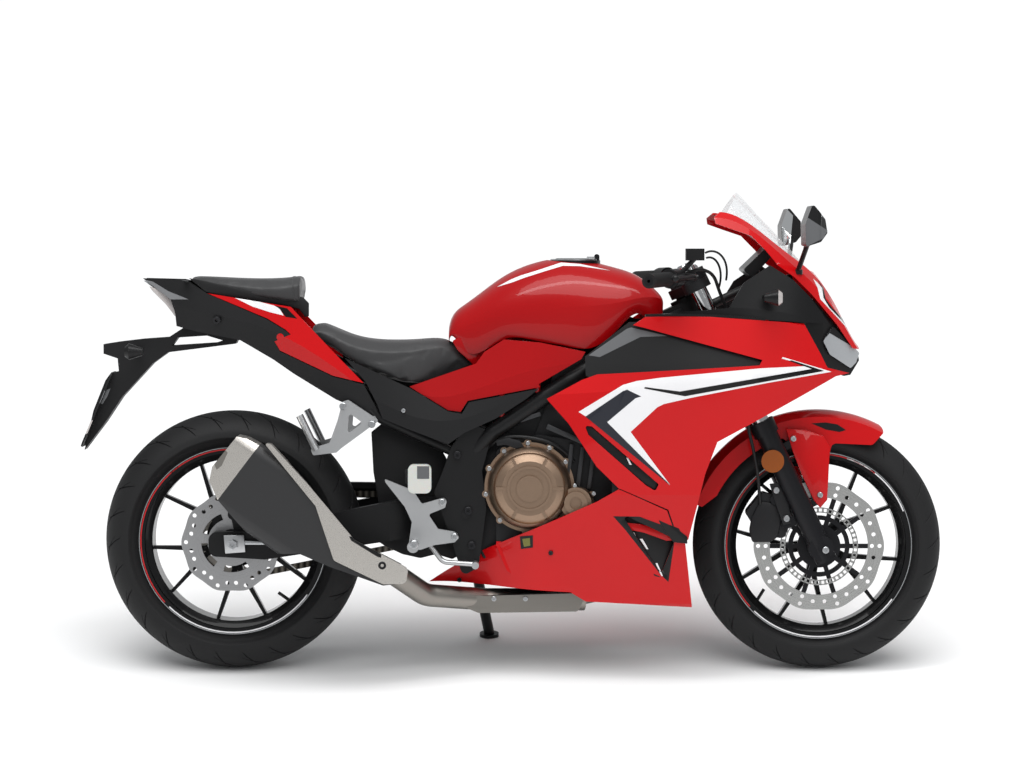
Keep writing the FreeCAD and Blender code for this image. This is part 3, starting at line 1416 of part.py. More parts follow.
screen_stations = [
    (0.826, 0.70, 0.950, 1.050), (0.863, 0.73, 0.934, 1.003), (0.894, 0.715, 0.912, 0.962),
    (0.954, 0.61, 0.858, 0.882), (0.995, 0.42, 0.815, 0.828),
]
screen_shares = [
    (0.838, 0.955), (0.841, 0.966), (0.863, 1.010), (0.894, 0.985), (0.96, 0.93), (1.0, 0.86), (0.990, 0.822),
    (0.95, 0.848), (0.89, 0.905),
]


def make_windscreen():
    """The clear bubble, arched across the bike and thin all over."""
    half = nose_half_width - 2 * panel_thickness
    wires = []
    for u, share, edge_v, middle_v in screen_stations:
        width = share * half
        drop = FreeCAD.Vector(0, 0, -screen_thickness)
        top = [at(u, edge_v, -width), at(u, middle_v), at(u, edge_v, width)]
        shoulder_v = edge_v + 0.72 * (middle_v - edge_v)
        upper = curve([top[0], at(u, shoulder_v, -0.6 * width), top[1], at(u, shoulder_v, 0.6 * width), top[2]])
        lower = curve([top[2] + drop, at(u, shoulder_v, 0.6 * width) + drop, top[1] + drop,
                       at(u, shoulder_v, -0.6 * width) + drop, top[0] + drop])
        wires.append(Part.Wire([upper, Part.makeLine(top[2], top[2] + drop), lower,
                                Part.makeLine(top[0] + drop, top[0])]))
    shell = Part.makeLoft(wires, True, False)
    return shell.common(prism(screen_shares, -cowl_depth, cowl_depth, overrun))


lamp_shares = [(1.002, 0.694), (1.019, 0.725), (1.068, 0.668), (1.062, 0.648), (1.052, 0.636), (1.014, 0.666)]
lamp_plan_places = [(0.98, 0.14), (1.08, 0.14), (1.08, 0.30), (1.066, 0.36), (1.002, 0.70), (0.98, 0.70)]
nose_room_shares = [
    (0.985, 0.745), (0.990, 0.762), (1.022, 0.715), (1.045, 0.68), (1.045, 0.648), (1.016, 0.672),
]
nose_shares = [
    (0.966, 0.742), (0.984, 0.782), (1.026, 0.724), (1.066, 0.666), (1.068, 0.652), (1.052, 0.622),
    (1.040, 0.620), (1.002, 0.636), (0.989, 0.668),
]
nose_plan_places = [(0.96, 0), (1.075, 0), (1.075, 0.24), (1.066, 0.32), (1.002, 0.66), (0.96, 0.80)]


def plan_of(places, sign=-1):
    return [(u * wheelbase, sign * share * nose_half_width) for u, share in places]


def make_headlights():
    lamp = prism(lamp_shares, -nose_half_width, 0, overrun)
    return pair(lamp.common(plan_prism(plan_of(lamp_plan_places), 0, bike_height)))


def make_nose_panel():
    """The black moulding between and behind the two lamps."""
    side = prism(nose_shares, -nose_half_width, nose_half_width)
    places = plan_of(nose_plan_places)
    outline = places[1:] + [(x, -y) for x, y in places[:0:-1]]
    body = side.common(plan_prism(outline[:-1], 0, bike_height))
    half = 0.5 * nose_half_width
    room = prism(nose_room_shares, -half, half)
    return body.cut([make_headlights(), room])


knee_stations = [
    (0.29, [(0.62, 0.560), (0.66, 0.610), (0.62, 0.650)]),
    (0.37, [(0.92, 0.530), (0.92, 0.580), (0.76, 0.660)]),
    (0.45, [(1.00, 0.540), (1.00, 0.610), (0.88, 0.700)]),
    (0.53, [(1.04, 0.570), (1.04, 0.640), (0.98, 0.710)]),
    (0.61, [(1.06, 0.600), (1.07, 0.650), (1.02, 0.700)]),
]
knee_stays = [(0.460, 0.605, 0.535), (0.520, 0.645, 0.585)]
knee_shares = [
    (0.303, 0.599), (0.369, 0.551), (0.390, 0.548), (0.402, 0.571), (0.524, 0.600), (0.521, 0.606),
    (0.593, 0.658), (0.600, 0.673), (0.524, 0.692), (0.463, 0.698), (0.430, 0.672), (0.416, 0.648),
]


def make_tank_side_covers():
    """The red knee panels below the tank."""
    wall = skin(knee_half_width, knee_stations, panel_thickness)
    panel = wall.common(prism(knee_shares, -cowl_depth, 0))
    outside = outside_of(knee_half_width, knee_stations)
    stays = [slanted_lug(at(u, top_v, -knee_half_width), at(u, foot_v, -spar_y), outside)
             for u, top_v, foot_v in knee_stays]
    return pair(joined([panel] + stays))


side_cover_shares = [
    (0.194, 0.659), (0.303, 0.597), (0.369, 0.549), (0.392, 0.544), (0.404, 0.568), (0.522, 0.597),
    (0.500, 0.575), (0.450, 0.535), (0.397, 0.505), (0.369, 0.481), (0.300, 0.512), (0.258, 0.533),
    (0.249, 0.562), (0.230, 0.608),
]
side_cover_lugs = [(0.400, 0.530, 0.83), (0.290, 0.588, 0.70)]
side_cover_stations = [
    (0.12, [(0.74, 0.500), (0.80, 0.600), (0.76, 0.680)]),
    (0.25, [(0.82, 0.490), (0.84, 0.570), (0.78, 0.660)]),
    (0.37, [(1.00, 0.470), (1.00, 0.530), (0.88, 0.600)]),
    (0.45, [(1.05, 0.480), (1.05, 0.560), (0.99, 0.640)]),
    (0.55, [(1.06, 0.520), (1.06, 0.600), (1.03, 0.640)]),
]


def make_side_covers():
    """The black covers over the frame below the seat."""
    wall = skin(knee_half_width, side_cover_stations, panel_thickness)
    panel = wall.common(prism(side_cover_shares, -cowl_depth, 0))
    outside = outside_of(knee_half_width, side_cover_stations)
    return pair(joined([panel] + [lug(u, v, y_share * spar_y, outside) for u, v, y_share in side_cover_lugs]))


tank_stations = [
    (0.369, 0.722, 0.44, 0.705, 0.42, 0.690), (0.395, 0.768, 0.58, 0.722, 0.55, 0.676),
    (0.429, 0.799, 0.70, 0.738, 0.66, 0.674), (0.468, 0.832, 0.82, 0.750, 0.78, 0.700),
    (0.524, 0.859, 0.93, 0.760, 0.88, 0.694), (0.564, 0.866, 0.98, 0.765, 0.92, 0.686),
    (0.607, 0.860, 1.00, 0.768, 0.94, 0.680), (0.657, 0.845, 0.95, 0.775, 0.90, 0.722),
    (0.700, 0.822, 0.80, 0.785, 0.76, 0.745), (0.733, 0.782, 0.52, 0.775, 0.50, 0.762),
]
fuel_cap_share = 0.582


def tank_top_height():
    return 0.864 * bike_height


def fuel_cap_centre():
    return FreeCAD.Vector(fuel_cap_share * wheelbase, 0, tank_top_height() - fuel_cap_height)


def make_fuel_tank():
    body = crowned_body(tank_half_width, tank_stations)
    dish = Part.makeCylinder(fuel_cap_radius + fuel_ring_width, fuel_cap_height * 4, fuel_cap_centre(), along_z)
    return body.cut(dish)


def cap_hinge():
    centre = fuel_cap_centre()
    return centre + FreeCAD.Vector(fuel_cap_radius + seat_gap, 0, fuel_cap_height + cap_knuckle_radius)


def make_fuel_cap_ring():
    """The flange round the filler, with the hinge ears and pin at its front."""
    centre = fuel_cap_centre()
    ring = Part.makeCylinder(fuel_cap_radius + fuel_ring_width - seat_gap, fuel_ring_height, centre, along_z)
    ring = ring.cut(Part.makeCylinder(fuel_cap_radius + 5 * seat_gap, fuel_ring_height, centre, along_z))
    hinge = cap_hinge()
    pieces = [ring]
    for sign in (-1, 1):
        inner = cap_knuckle_half + seat_gap
        outer = inner + panel_thickness
        low, high = sorted((sign * inner, sign * outer))
        ear = across_rod(hinge, cap_knuckle_radius, low, high)
        post = block(hinge + FreeCAD.Vector(-cap_knuckle_radius + 2 + seat_gap * 0, low, centre.z - hinge.z),
                     hinge + FreeCAD.Vector(cap_knuckle_radius, high, 0))
        post = post.cut(Part.makeCylinder(fuel_cap_radius + 5 * seat_gap, fuel_cap_height * 3, centre, along_z))
        pieces += [ear, post]
    pin_half = cap_knuckle_half + panel_thickness
    pin = across_rod(hinge, cap_hinge_radius, -pin_half, pin_half)
    return joined(pieces + [pin])


def make_fuel_cap():
    """The round filler lid, hinged at its front edge."""
    centre = fuel_cap_centre() + along_z * seat_gap
    lid = Part.makeCylinder(fuel_cap_radius, fuel_cap_height, centre, along_z)
    step = Part.makeCone(fuel_cap_radius * 0.8, fuel_cap_radius * 0.72, panel_thickness / 2,
                         centre + along_z * fuel_cap_height, along_z)
    hinge = cap_hinge()
    knuckle = across_rod(hinge, 0.8 * cap_knuckle_radius, -cap_knuckle_half, cap_knuckle_half)
    low = FreeCAD.Vector(-4 * cap_knuckle_radius, -cap_knuckle_half, -cap_knuckle_radius + seat_gap)
    tongue = block(hinge + low, hinge + FreeCAD.Vector(0, cap_knuckle_half, 0))
    whole = joined([lid, step, knuckle, tongue])
    return whole.cut(across_rod(hinge, cap_hinge_radius + running_gap, -fuel_cap_radius, fuel_cap_radius))


rider_seat_stations = [
    (0.134, 0.727, 0.66, 0.715, 0.64, 0.700), (0.158, 0.728, 0.74, 0.712, 0.72, 0.688),
    (0.206, 0.704, 0.88, 0.686, 0.86, 0.652), (0.277, 0.693, 0.98, 0.672, 0.92, 0.613),
    (0.320, 0.695, 0.92, 0.676, 0.84, 0.604), (0.352, 0.697, 0.78, 0.680, 0.70, 0.610),
    (0.384, 0.684, 0.62, 0.670, 0.56, 0.626), (0.414, 0.656, 0.50, 0.650, 0.48, 0.641),
]
pillion_seat_stations = [
    (-0.074, 0.828, 0.34, 0.822, 0.30, 0.815), (-0.040, 0.827, 0.56, 0.815, 0.54, 0.800),
    (0.010, 0.824, 0.74, 0.810, 0.70, 0.790), (0.062, 0.823, 0.84, 0.805, 0.80, 0.781),
    (0.100, 0.826, 0.86, 0.808, 0.82, 0.775), (0.120, 0.830, 0.80, 0.812, 0.78, 0.772),
]


def make_rider_seat():
    return crowned_body(seat_half_width, rider_seat_stations)


def make_pillion_seat():
    return crowned_body(seat_half_width, pillion_seat_stations)


tail_stations = [
    (-0.160, [(0.24, 0.780), (0.27, 0.810), (0.26, 0.840)]),
    (-0.10, [(0.48, 0.715), (0.60, 0.770), (0.56, 0.825)]),
    (-0.03, [(0.60, 0.690), (0.80, 0.750), (0.74, 0.805)]),
    (0.06, [(0.70, 0.650), (0.92, 0.720), (0.86, 0.785)]),
    (0.14, [(0.78, 0.590), (1.00, 0.670), (0.92, 0.760)]),
    (0.21, [(0.84, 0.540), (1.00, 0.610), (0.98, 0.700)]),
    (0.27, [(0.86, 0.500), (0.98, 0.560), (0.96, 0.660)]),
]
tail_red_shares = [
    (-0.039, 0.793), (0.027, 0.780), (0.103, 0.765), (0.129, 0.731), (0.188, 0.655), (0.226, 0.607),
    (0.174, 0.622), (0.084, 0.674), (0.075, 0.693), (0.103, 0.708), (0.094, 0.718), (0.063, 0.741),
]
tail_black_shares = [
    (-0.153, 0.824), (-0.075, 0.821), (-0.039, 0.792), (0.063, 0.739), (0.094, 0.716), (0.103, 0.706),
    (0.075, 0.692), (0.084, 0.672), (0.174, 0.620), (0.226, 0.604), (0.245, 0.56), (0.254, 0.533),
    (0.178, 0.572), (0.107, 0.625), (0.073, 0.654), (0.016, 0.695), (-0.060, 0.713), (-0.094, 0.724),
    (-0.096, 0.754), (-0.103, 0.780),
]


tail_red_lug = (0.085, 0.702)
tail_black_lug = (0.212, 0.588)


def tail_wall():
    return skin(tail_half_width, tail_stations, panel_thickness)


def make_tail_cowls(wall):
    """The red side panels below the pillion seat."""
    outside = outside_of(tail_half_width, tail_stations)
    panel = wall.common(prism(tail_red_shares, -cowl_depth, 0))
    return pair(joined([panel, lug(*tail_red_lug, 0.6 * spar_y, outside)]))


undertray_shares = [
    (0.173, 0.580), (0.107, 0.632), (0.073, 0.661), (0.016, 0.702), (-0.060, 0.720), (-0.092, 0.730),
    (-0.092, 0.736), (-0.058, 0.726), (0.018, 0.708), (0.075, 0.667), (0.110, 0.638), (0.176, 0.586),
]
tail_deck_shares = [
    (-0.145, 0.822), (-0.075, 0.819), (-0.055, 0.806), (-0.055, 0.801), (-0.077, 0.814), (-0.145, 0.817),
]


def make_tail_side_panels(wall):
    """The black lower side panels of the tail."""
    outside = outside_of(tail_half_width, tail_stations)
    return pair(joined([wall.common(prism(tail_black_shares, -cowl_depth, 0)),
                        lug(*tail_black_lug, 0.7 * spar_y, outside)]))


def make_undertray(wall):
    """The floor of the tail and its small rear deck, fitted between the side panels."""
    floor = prism(undertray_shares, -0.9 * tail_half_width, 0.9 * tail_half_width)
    deck = prism(tail_deck_shares, -0.9 * tail_half_width, 0.9 * tail_half_width)
    outside = outside_of(tail_half_width, tail_stations)
    trims = [wall, mirrored(wall), outside, mirrored(outside)]
    return grouped([floor.cut(trims).Solids[0], deck.cut(trims).Solids[0]])


tail_lamp_shares = [
    (-0.153, 0.819), (-0.107, 0.778), (-0.100, 0.752), (-0.096, 0.752), (-0.100, 0.785), (-0.140, 0.819),
]


def make_tail_light():
    return prism(tail_lamp_shares, -0.22 * tail_half_width, 0.22 * tail_half_width)


plate_arm_shares = [
    (-0.075, 0.728), (-0.110, 0.700), (-0.155, 0.696), (-0.196, 0.690), (-0.222, 0.685), (-0.222, 0.665),
    (-0.198, 0.655), (-0.196, 0.628), (-0.210, 0.624), (-0.219, 0.609), (-0.240, 0.545), (-0.2555, 0.462),
    (-0.2193, 0.5207), (-0.1907, 0.5737), (-0.1644, 0.6089), (-0.138, 0.6444), (-0.1118, 0.6678),
    (0.004, 0.686), (0.012, 0.706),
]
plate_arm_half_width = 26.0
plate_top_shares = (-0.205, 0.625)
plate_foot_shares = (-0.256, 0.470)


def plate_direction():
    return (at(*plate_foot_shares) - at(*plate_top_shares)).normalize()


def make_plate_bracket():
    """The arm under the tail, with the holder that carries the number plate."""
    arm = prism(plate_arm_shares, -plate_arm_half_width, plate_arm_half_width)
    window = prism([(-0.105, 0.682), (-0.095, 0.699), (-0.045, 0.703), (-0.018, 0.693), (-0.03, 0.688)],
                   -2 * plate_arm_half_width, 2 * plate_arm_half_width)
    return joined([arm.cut(window), make_plate_holder()])


def plate_normal():
    return along_y.cross(plate_direction()).normalize()


def make_plate_holder():
    top = at(*plate_top_shares)
    foot = at(*plate_foot_shares)
    half = plate_width / 2
    normal = plate_normal()
    points = [top - along_y * half * 0.5, top + along_y * half * 0.5, foot + along_y * half * 0.8,
              foot - along_y * half * 0.8]
    board = Part.Face(rounded_wire(points, rail_radius)).extrude(normal * plate_thickness)
    holes = []
    middle = top + plate_direction() * (2.4 * plate_arm_half_width)
    for sign in (-1, 1):
        place = middle + along_y * (sign * plate_bolt_spacing / 2)
        holes.append(rod(place - normal * 2 * overrun, place + normal * 2 * overrun, plate_bolt_radius))
    return board.cut(holes)


# Lamps on stalks and mirrors
front_indicator_shares = (0.918, 0.786)
rear_indicator_shares = (-0.170, 0.672)
front_indicator_y = 238.0
rear_indicator_y = 118.0


def indicator(place, root, rear_facing):
    """A small teardrop lamp on a rubber stalk."""
    facing = -1 if rear_facing else 1
    back = place - along_x * (facing * 1.6 * indicator_radius)
    body = cone(back, place, 0.45 * indicator_radius, indicator_radius)
    crown = place + along_x * (facing * 0.5 * indicator_radius)
    lens = cone(place, crown, indicator_radius, 0.6 * indicator_radius)
    stalk = rod(root, place - along_x * (facing * 0.7 * indicator_radius), 0.4 * indicator_radius)
    return joined([body, lens, stalk])


def make_indicators(cockpit, plate_arm):
    front_place = at(front_indicator_shares[0], front_indicator_shares[1], -front_indicator_y)
    front_root = at(front_indicator_shares[0] - 0.02, front_indicator_shares[1], -0.88 * nose_half_width)
    front = indicator(front_place, front_root, False).cut(cockpit)
    front = max(front.Solids, key=lambda solid: solid.Volume)
    rear_place = at(rear_indicator_shares[0], rear_indicator_shares[1], -rear_indicator_y)
    rear_root = at(rear_indicator_shares[0] + 0.008, rear_indicator_shares[1], -plate_arm_half_width)
    rear = indicator(rear_place, rear_root, True)
    return grouped([front, mirrored(front), rear, mirrored(rear)])


mirror_root_shares = (0.957, 0.838)
mirror_neck_shares = (0.968, 0.893)
mirror_head_shares = [
    (0.966, 0.977), (0.988, 0.945), (0.992, 0.918), (0.980, 0.900), (0.955, 0.890), (0.954, 0.936),
]


def make_mirrors():
    """Mirror heads on slim stalks that stand on the nose's shoulders."""
    inner = -mirror_half_span + mirror_width
    head = prism(mirror_head_shares, -mirror_half_span, inner, overrun)
    trim = plan_prism([(0.94 * wheelbase, -mirror_half_span), (0.978 * wheelbase, -mirror_half_span),
                       (1.0 * wheelbase, -mirror_half_span + spar_radius * 2), (1.0 * wheelbase, inner),
                       (0.94 * wheelbase, inner)], 0, 2 * bike_height, rail_radius)
    head = head.common(trim)
    root = at(mirror_root_shares[0], mirror_root_shares[1], -0.80 * nose_half_width)
    neck = at(mirror_neck_shares[0], mirror_neck_shares[1], -1.2 * nose_half_width)
    tip = at(0.972, 0.915, inner - spar_radius)
    stalk = bent_rod([root, neck, tip], lever_radius, 4 * lever_radius)
    foot = rod(root - along_z * lever_radius, root + along_z * lever_radius, 2 * lever_radius)
    return joined([head, stalk, foot])


instrument_shares = [(0.868, 0.842), (0.912, 0.894), (0.924, 0.880), (0.884, 0.826)]


def make_instrument_panel():
    return prism(instrument_shares, -0.5 * nose_half_width, 0.5 * nose_half_width, overrun)


stay_radius = 8.0


def make_front_stay():
    """The tube stay on the head tube that carries the nose, the instruments and the mirrors."""
    head = steering_point(head_tube_foot + 0.6 * head_tube_length) + ahead_fork * (0.97 * head_tube_radius)
    joint = at(0.900, 0.815)
    arms = [rod(head, joint, stay_radius * 1.4)]
    panel = at(0.893, 0.846)
    arms.append(rod(joint, panel, stay_radius))
    for sign in (-1, 1):
        shoulder = at(0.945, 0.826, sign * 0.70 * nose_half_width)
        arms.append(rod(joint, shoulder, stay_radius))
    arms.append(rod(joint, at(0.985, 0.745), stay_radius))
    return joined(arms)


# Foot controls and brackets
rider_bracket_shares = [
    (0.264, 0.402), (0.262, 0.410), (0.310, 0.386), (0.325, 0.358), (0.359, 0.370), (0.367, 0.364),
    (0.364, 0.350), (0.336, 0.336), (0.352, 0.306), (0.380, 0.300), (0.388, 0.288), (0.380, 0.278),
    (0.345, 0.272), (0.322, 0.262), (0.302, 0.268), (0.308, 0.320), (0.296, 0.352),
]
bracket_y = 154.0
bracket_thickness = 9.0
bracket_bolt_shares = [(0.360, 0.361), (0.379, 0.290)]
peg_shares = (0.312, 0.276)
peg_length = 88.0
peg_radius = 11.0


def make_footpeg_brackets():
    """The silver plates that carry the rider's pegs, on bosses off the pivot plates."""
    plate = prism(rider_bracket_shares, -bracket_y - bracket_thickness, -bracket_y, overrun)
    pieces = [plate]
    for u, v in bracket_bolt_shares:
        pivot_face = -pivot_plate_inner - pivot_plate_thickness - seat_gap
        pieces.append(across_rod(at(u, v), boss_radius, -bracket_y, pivot_face))
    return pair(joined(pieces))


def make_footpegs():
    place = at(*peg_shares)
    start = -bracket_y - bracket_thickness - seat_gap
    peg = across_rod(place, peg_radius, start - peg_length, start)
    end = across_rod(place, peg_radius * 1.25, start - peg_length - overrun, start - peg_length)
    return pair(joined([peg, end]))


pedal_tip_shares = (0.415, 0.262)


def make_foot_controls():
    """The brake pedal on the right and the gear lever on the left."""
    y = -bracket_y + rail_radius
    root = at(peg_shares[0] + 0.012, peg_shares[1] + 0.018, y)
    knee = at(0.36, 0.235, y)
    tip = at(pedal_tip_shares[0], pedal_tip_shares[1] - 0.03, y - spar_radius)
    arm = bent_rod([root, knee, tip], lever_radius, 4 * lever_radius)
    boss = across_rod(root, boss_radius, -bracket_y - y, 0)
    pad = across_rod(tip, lever_radius * 1.4, -spar_radius * 1.6, lever_radius)
    return pair(joined([arm, boss, pad]))


pillion_bracket_shares = [
    (0.190, 0.568), (0.200, 0.572), (0.246, 0.534), (0.240, 0.518), (0.187, 0.470), (0.180, 0.462),
    (0.140, 0.456), (0.136, 0.470), (0.168, 0.482), (0.182, 0.530),
]


pillion_boss_shares = (0.243, 0.530)
pillion_window_shares = [(0.201, 0.545), (0.224, 0.524), (0.198, 0.500)]


def make_pillion_brackets():
    """The forked silver brackets that carry the passenger's folded pegs and the muffler."""
    y_out = 0.88 * spar_y
    plate = prism(pillion_bracket_shares, -y_out - bracket_thickness, -y_out, overrun)
    boss = across_rod(at(*pillion_boss_shares), boss_radius, -y_out, -0.75 * spar_y)
    window = prism(pillion_window_shares, -y_out - 2 * bracket_thickness, -y_out, overrun)
    return pair(joined([plate.cut(window), boss]))


def make_pillion_pegs():
    """The passenger's pegs, folded up."""
    y = -0.88 * spar_y - bracket_thickness - 0.8 * peg_radius - seat_gap
    low = at(0.146, 0.468, y)
    high = at(0.118, 0.540, y)
    return pair(rod(low, high, peg_radius * 0.8))


rear_reservoir_shares = [(0.302, 0.381), (0.341, 0.381), (0.341, 0.440), (0.302, 0.440)]


def make_rear_reservoir():
    """The rear brake's white fluid box with a black cap, above the right bracket."""
    inner = -bracket_y + 0.5 * bracket_thickness
    return prism(rear_reservoir_shares, inner - 1.5 * fluid_box_radius, inner, rail_radius)


shock_foot_shares = (0.296, 0.350)


def make_rear_shock():
    """The single rear spring unit ahead of the tyre."""
    low = at(*shock_foot_shares)
    high = at(*cross_tube_shares[0])
    direction = (high - low).normalize()
    body = rod(low, high, 0.8 * rail_radius)
    spring = rod(low + direction * 3 * spar_radius, high - direction * 1.6 * spar_radius, 1.4 * spar_radius)
    return joined([body, spring])


# Side stand
stand_pivot_shares = (0.412, 0.205)
stand_pivot_y = 118.0
stand_foot_share = 0.436
stand_foot_y = 248.0
stand_stowed_direction = (-0.96, 0.12, -0.25)
stand_root_shares = (0.405, 0.255)


def crown_dip(radius, width):
    """How far a tyre's round crown reaches below its upright bottom, once the bike leans."""
    chord = (tyre_edge_share * width) ** 2
    rise = (1 - tyre_edge_height_share) * (radius - bead_radius)
    return (chord + rise ** 2) / (2 * rise) * (1 - math.cos(math.radians(lean_degrees)))


def ground_height(y):
    """The ground below a point on the left, once the bike leans that way onto its tyres."""
    rear = crown_dip(rear_tyre_radius, rear_tyre_width)
    front = crown_dip(front_tyre_radius, front_tyre_width)
    dip = rear + stand_foot_share * (front - rear)
    lean = math.radians(lean_degrees)
    return y * math.tan(lean) - dip / math.cos(lean)


def stand_pivot():
    return at(stand_pivot_shares[0], stand_pivot_shares[1], stand_pivot_y)


def stand_foot():
    return FreeCAD.Vector(stand_foot_share * wheelbase, stand_foot_y, ground_height(stand_foot_y))


def stand_axis():
    """The hinge axis that swings the leg from the ground to its place under the bike."""
    stowed = FreeCAD.Vector(*stand_stowed_direction).normalize()
    return (stand_foot() - stand_pivot()).cross(stowed).normalize()


def stand_fold_degrees():
    stowed = FreeCAD.Vector(*stand_stowed_direction).normalize()
    return math.degrees((stand_foot() - stand_pivot()).getAngle(stowed))


def leaned(shape):
    turned = shape.copy()
    turned.rotate(origin, along_x, -lean_degrees)
    return turned


def make_side_stand():
    """The stand's leg with its eye at the pivot and its pad flat on the ground."""
    pivot = stand_pivot()
    axis = stand_axis()
    foot = stand_foot()
    down = FreeCAD.Vector(0, math.sin(math.radians(lean_degrees)), -math.cos(math.radians(lean_degrees)))
    half = stand_ear_thickness / 2
    eye = rod(pivot - axis * half, pivot + axis * half, stand_ear_radius)
    ankle = foot - down * stand_foot_thickness
    leg = rod(pivot, ankle, stand_leg_radius)
    for side in (-1, 1):
        face = pivot + axis * (side * half)
        leg = leg.cut(rod(face, face + axis * (side * 2 * stand_ear_radius), 2 * stand_ear_radius))
    pad = rod(foot - down * stand_foot_thickness, foot, stand_foot_radius)
    under = rod(foot, foot + down * 10 * overrun, 4 * stand_foot_radius)
    whole = joined([eye, leg, pad]).cut(under)
    return whole.cut(rod(pivot - axis * stand_ear_radius, pivot + axis * stand_ear_radius,
                         stand_pivot_radius + running_gap))


def stand_eye_room():
    """The space between the bracket's ears that the stand's eye turns in."""
    reach = stand_axis() * (stand_ear_thickness / 2 + seat_gap)
    return rod(stand_pivot() - reach, stand_pivot() + reach, stand_ear_radius + seat_gap)


def stand_leg_room():
    """The space that the leg lies in once it is folded back."""
    stowed = FreeCAD.Vector(*stand_stowed_direction).normalize()
    return rod(stand_pivot(), stand_pivot() + stowed * 3 * stand_ear_radius, stand_leg_radius + overrun)


def make_stand_bracket():
    """The bracket on the left pivot plate: two ears on the stand's pin, bridged above its eye."""
    pivot = stand_pivot()
    axis = stand_axis()
    side = axis.cross(along_z).normalize()
    up = side.cross(axis).normalize()
    inner = stand_ear_thickness / 2 + seat_gap
    outer = inner + stand_ear_thickness
    bridge = pivot + up * (stand_ear_radius + seat_gap + 1.6 * stand_ear_thickness)
    outline = [
        pivot - side * 0.8 * stand_ear_radius - up * 0.7 * stand_ear_radius,
        pivot + side * 0.8 * stand_ear_radius - up * 0.7 * stand_ear_radius,
        bridge + side * stand_ear_thickness + up * 0.5 * stand_ear_thickness,
        bridge - side * stand_ear_thickness + up * 0.5 * stand_ear_thickness,
    ]
    ears = []
    for start in (-outer, inner):
        points = [point + axis * start for point in outline]
        ears.append(Part.Face(rounded_wire(points, stand_ear_thickness)).extrude(axis * stand_ear_thickness))
    pin = rod(pivot - axis * (outer + overrun), pivot + axis * (outer + overrun), stand_pivot_radius)
    bar = rod(bridge - axis * outer, bridge + axis * outer, 0.9 * stand_ear_thickness)
    root = at(*stand_root_shares, pivot_plate_inner)
    arm = rod(bridge - axis * (outer + 0.2 * stand_leg_radius), root, stand_leg_radius)
    return joined(ears + [pin, bar, arm.cut(stand_eye_room())])


# The nodes and the body that each one belongs to
def build_nodes():
    wall = cowl_skin()
    tail = tail_wall()
    side_cowl = make_side_cowl(wall)
    lower_cowl = make_lower_cowl(wall)
    duct = make_duct_panel(wall)
    left_lower = mirrored(lower_cowl).cut(
        block(FreeCAD.Vector(0, 0, 0), FreeCAD.Vector(stand_notch_share * wheelbase, cowl_depth, bike_height)))
    cockpit = make_cockpit_panels()
    plate_bracket = make_plate_bracket()
    mirror = make_mirrors()
    nodes = {
        "front_tyre": make_tyre(front_axle, front_tyre_radius, front_tyre_width, front_rim_width),
        "front_rim": make_front_rim(),
        "front_disc": make_front_disc(),
        "front_disc_carrier": make_front_disc_carrier(),
        "rear_tyre": make_tyre(rear_axle, rear_tyre_radius, rear_tyre_width, rear_rim_width),
        "rear_rim": make_rear_rim(),
        "rear_disc": make_rear_disc(),
        "rear_sprocket": make_rear_sprocket(),
        "chain": make_chain(),
        "swingarm": make_swingarm(),
        "rear_caliper": make_rear_caliper(),
        "chain_guards": grouped([make_rear_hugger(), make_sprocket_cover()]),
        "frame": make_frame(),
        "yokes": make_yokes(),
        "fork_tubes": make_fork_tubes(),
        "fork_legs": make_fork_legs(),
        "front_caliper": make_front_caliper(),
        "handlebars": make_handlebars(),
        "grips": make_grips(),
        "hand_controls": grouped([make_hand_controls(), make_front_reservoir()]),
        "front_brake_hose": make_front_brake_hose(),
        "front_mudguard": make_front_mudguard(),
        "mudguard_flap": make_mudguard_flap(),
        "reflectors": make_reflectors(),
        "engine_block": make_engine_block(),
        "engine_covers": make_engine_covers(),
        "radiator": make_radiator(),
        "exhaust_pipe": make_exhaust_pipe(),
        "muffler": make_muffler(),
        "muffler_covers": grouped([make_muffler_cap(), make_muffler_shield()]),
        "side_cowl_right": side_cowl,
        "side_cowl_left": mirrored(side_cowl),
        "lower_cowl_right": lower_cowl,
        "lower_cowl_left": left_lower,
        "inner_cowls": grouped([pair(duct), cockpit]),
        "upper_cowl": make_upper_cowl(),
        "windscreen": make_windscreen(),
        "headlights": make_headlights(),
        "nose_panel": make_nose_panel(),
        "tank_side_covers": make_tank_side_covers(),
        "side_covers": make_side_covers(),
        "fuel_tank": make_fuel_tank(),
        "fuel_cap_ring": make_fuel_cap_ring(),
        "fuel_cap": make_fuel_cap(),
        "rider_seat": make_rider_seat(),
        "pillion_seat": make_pillion_seat(),
        "tail_cowls": make_tail_cowls(tail),
        "tail_side_panels": joined([make_tail_side_panels(tail), make_undertray(tail)]),
        "tail_light": make_tail_light(),
        "plate_bracket": plate_bracket,
        "indicators": make_indicators(cockpit, plate_bracket),
        "mirrors": pair(mirror),
        "instrument_panel": make_instrument_panel(),
        "front_stay": make_front_stay(),
        "footpeg_brackets": grouped([make_footpeg_brackets(), make_pillion_brackets()]),
        "footpegs": grouped([make_footpegs(), make_pillion_pegs()]),
        "foot_controls": make_foot_controls(),
        "rear_reservoir": make_rear_reservoir(),
        "rear_shock": make_rear_shock(),
        "side_stand": make_side_stand(),
    }
    return seated(nodes)


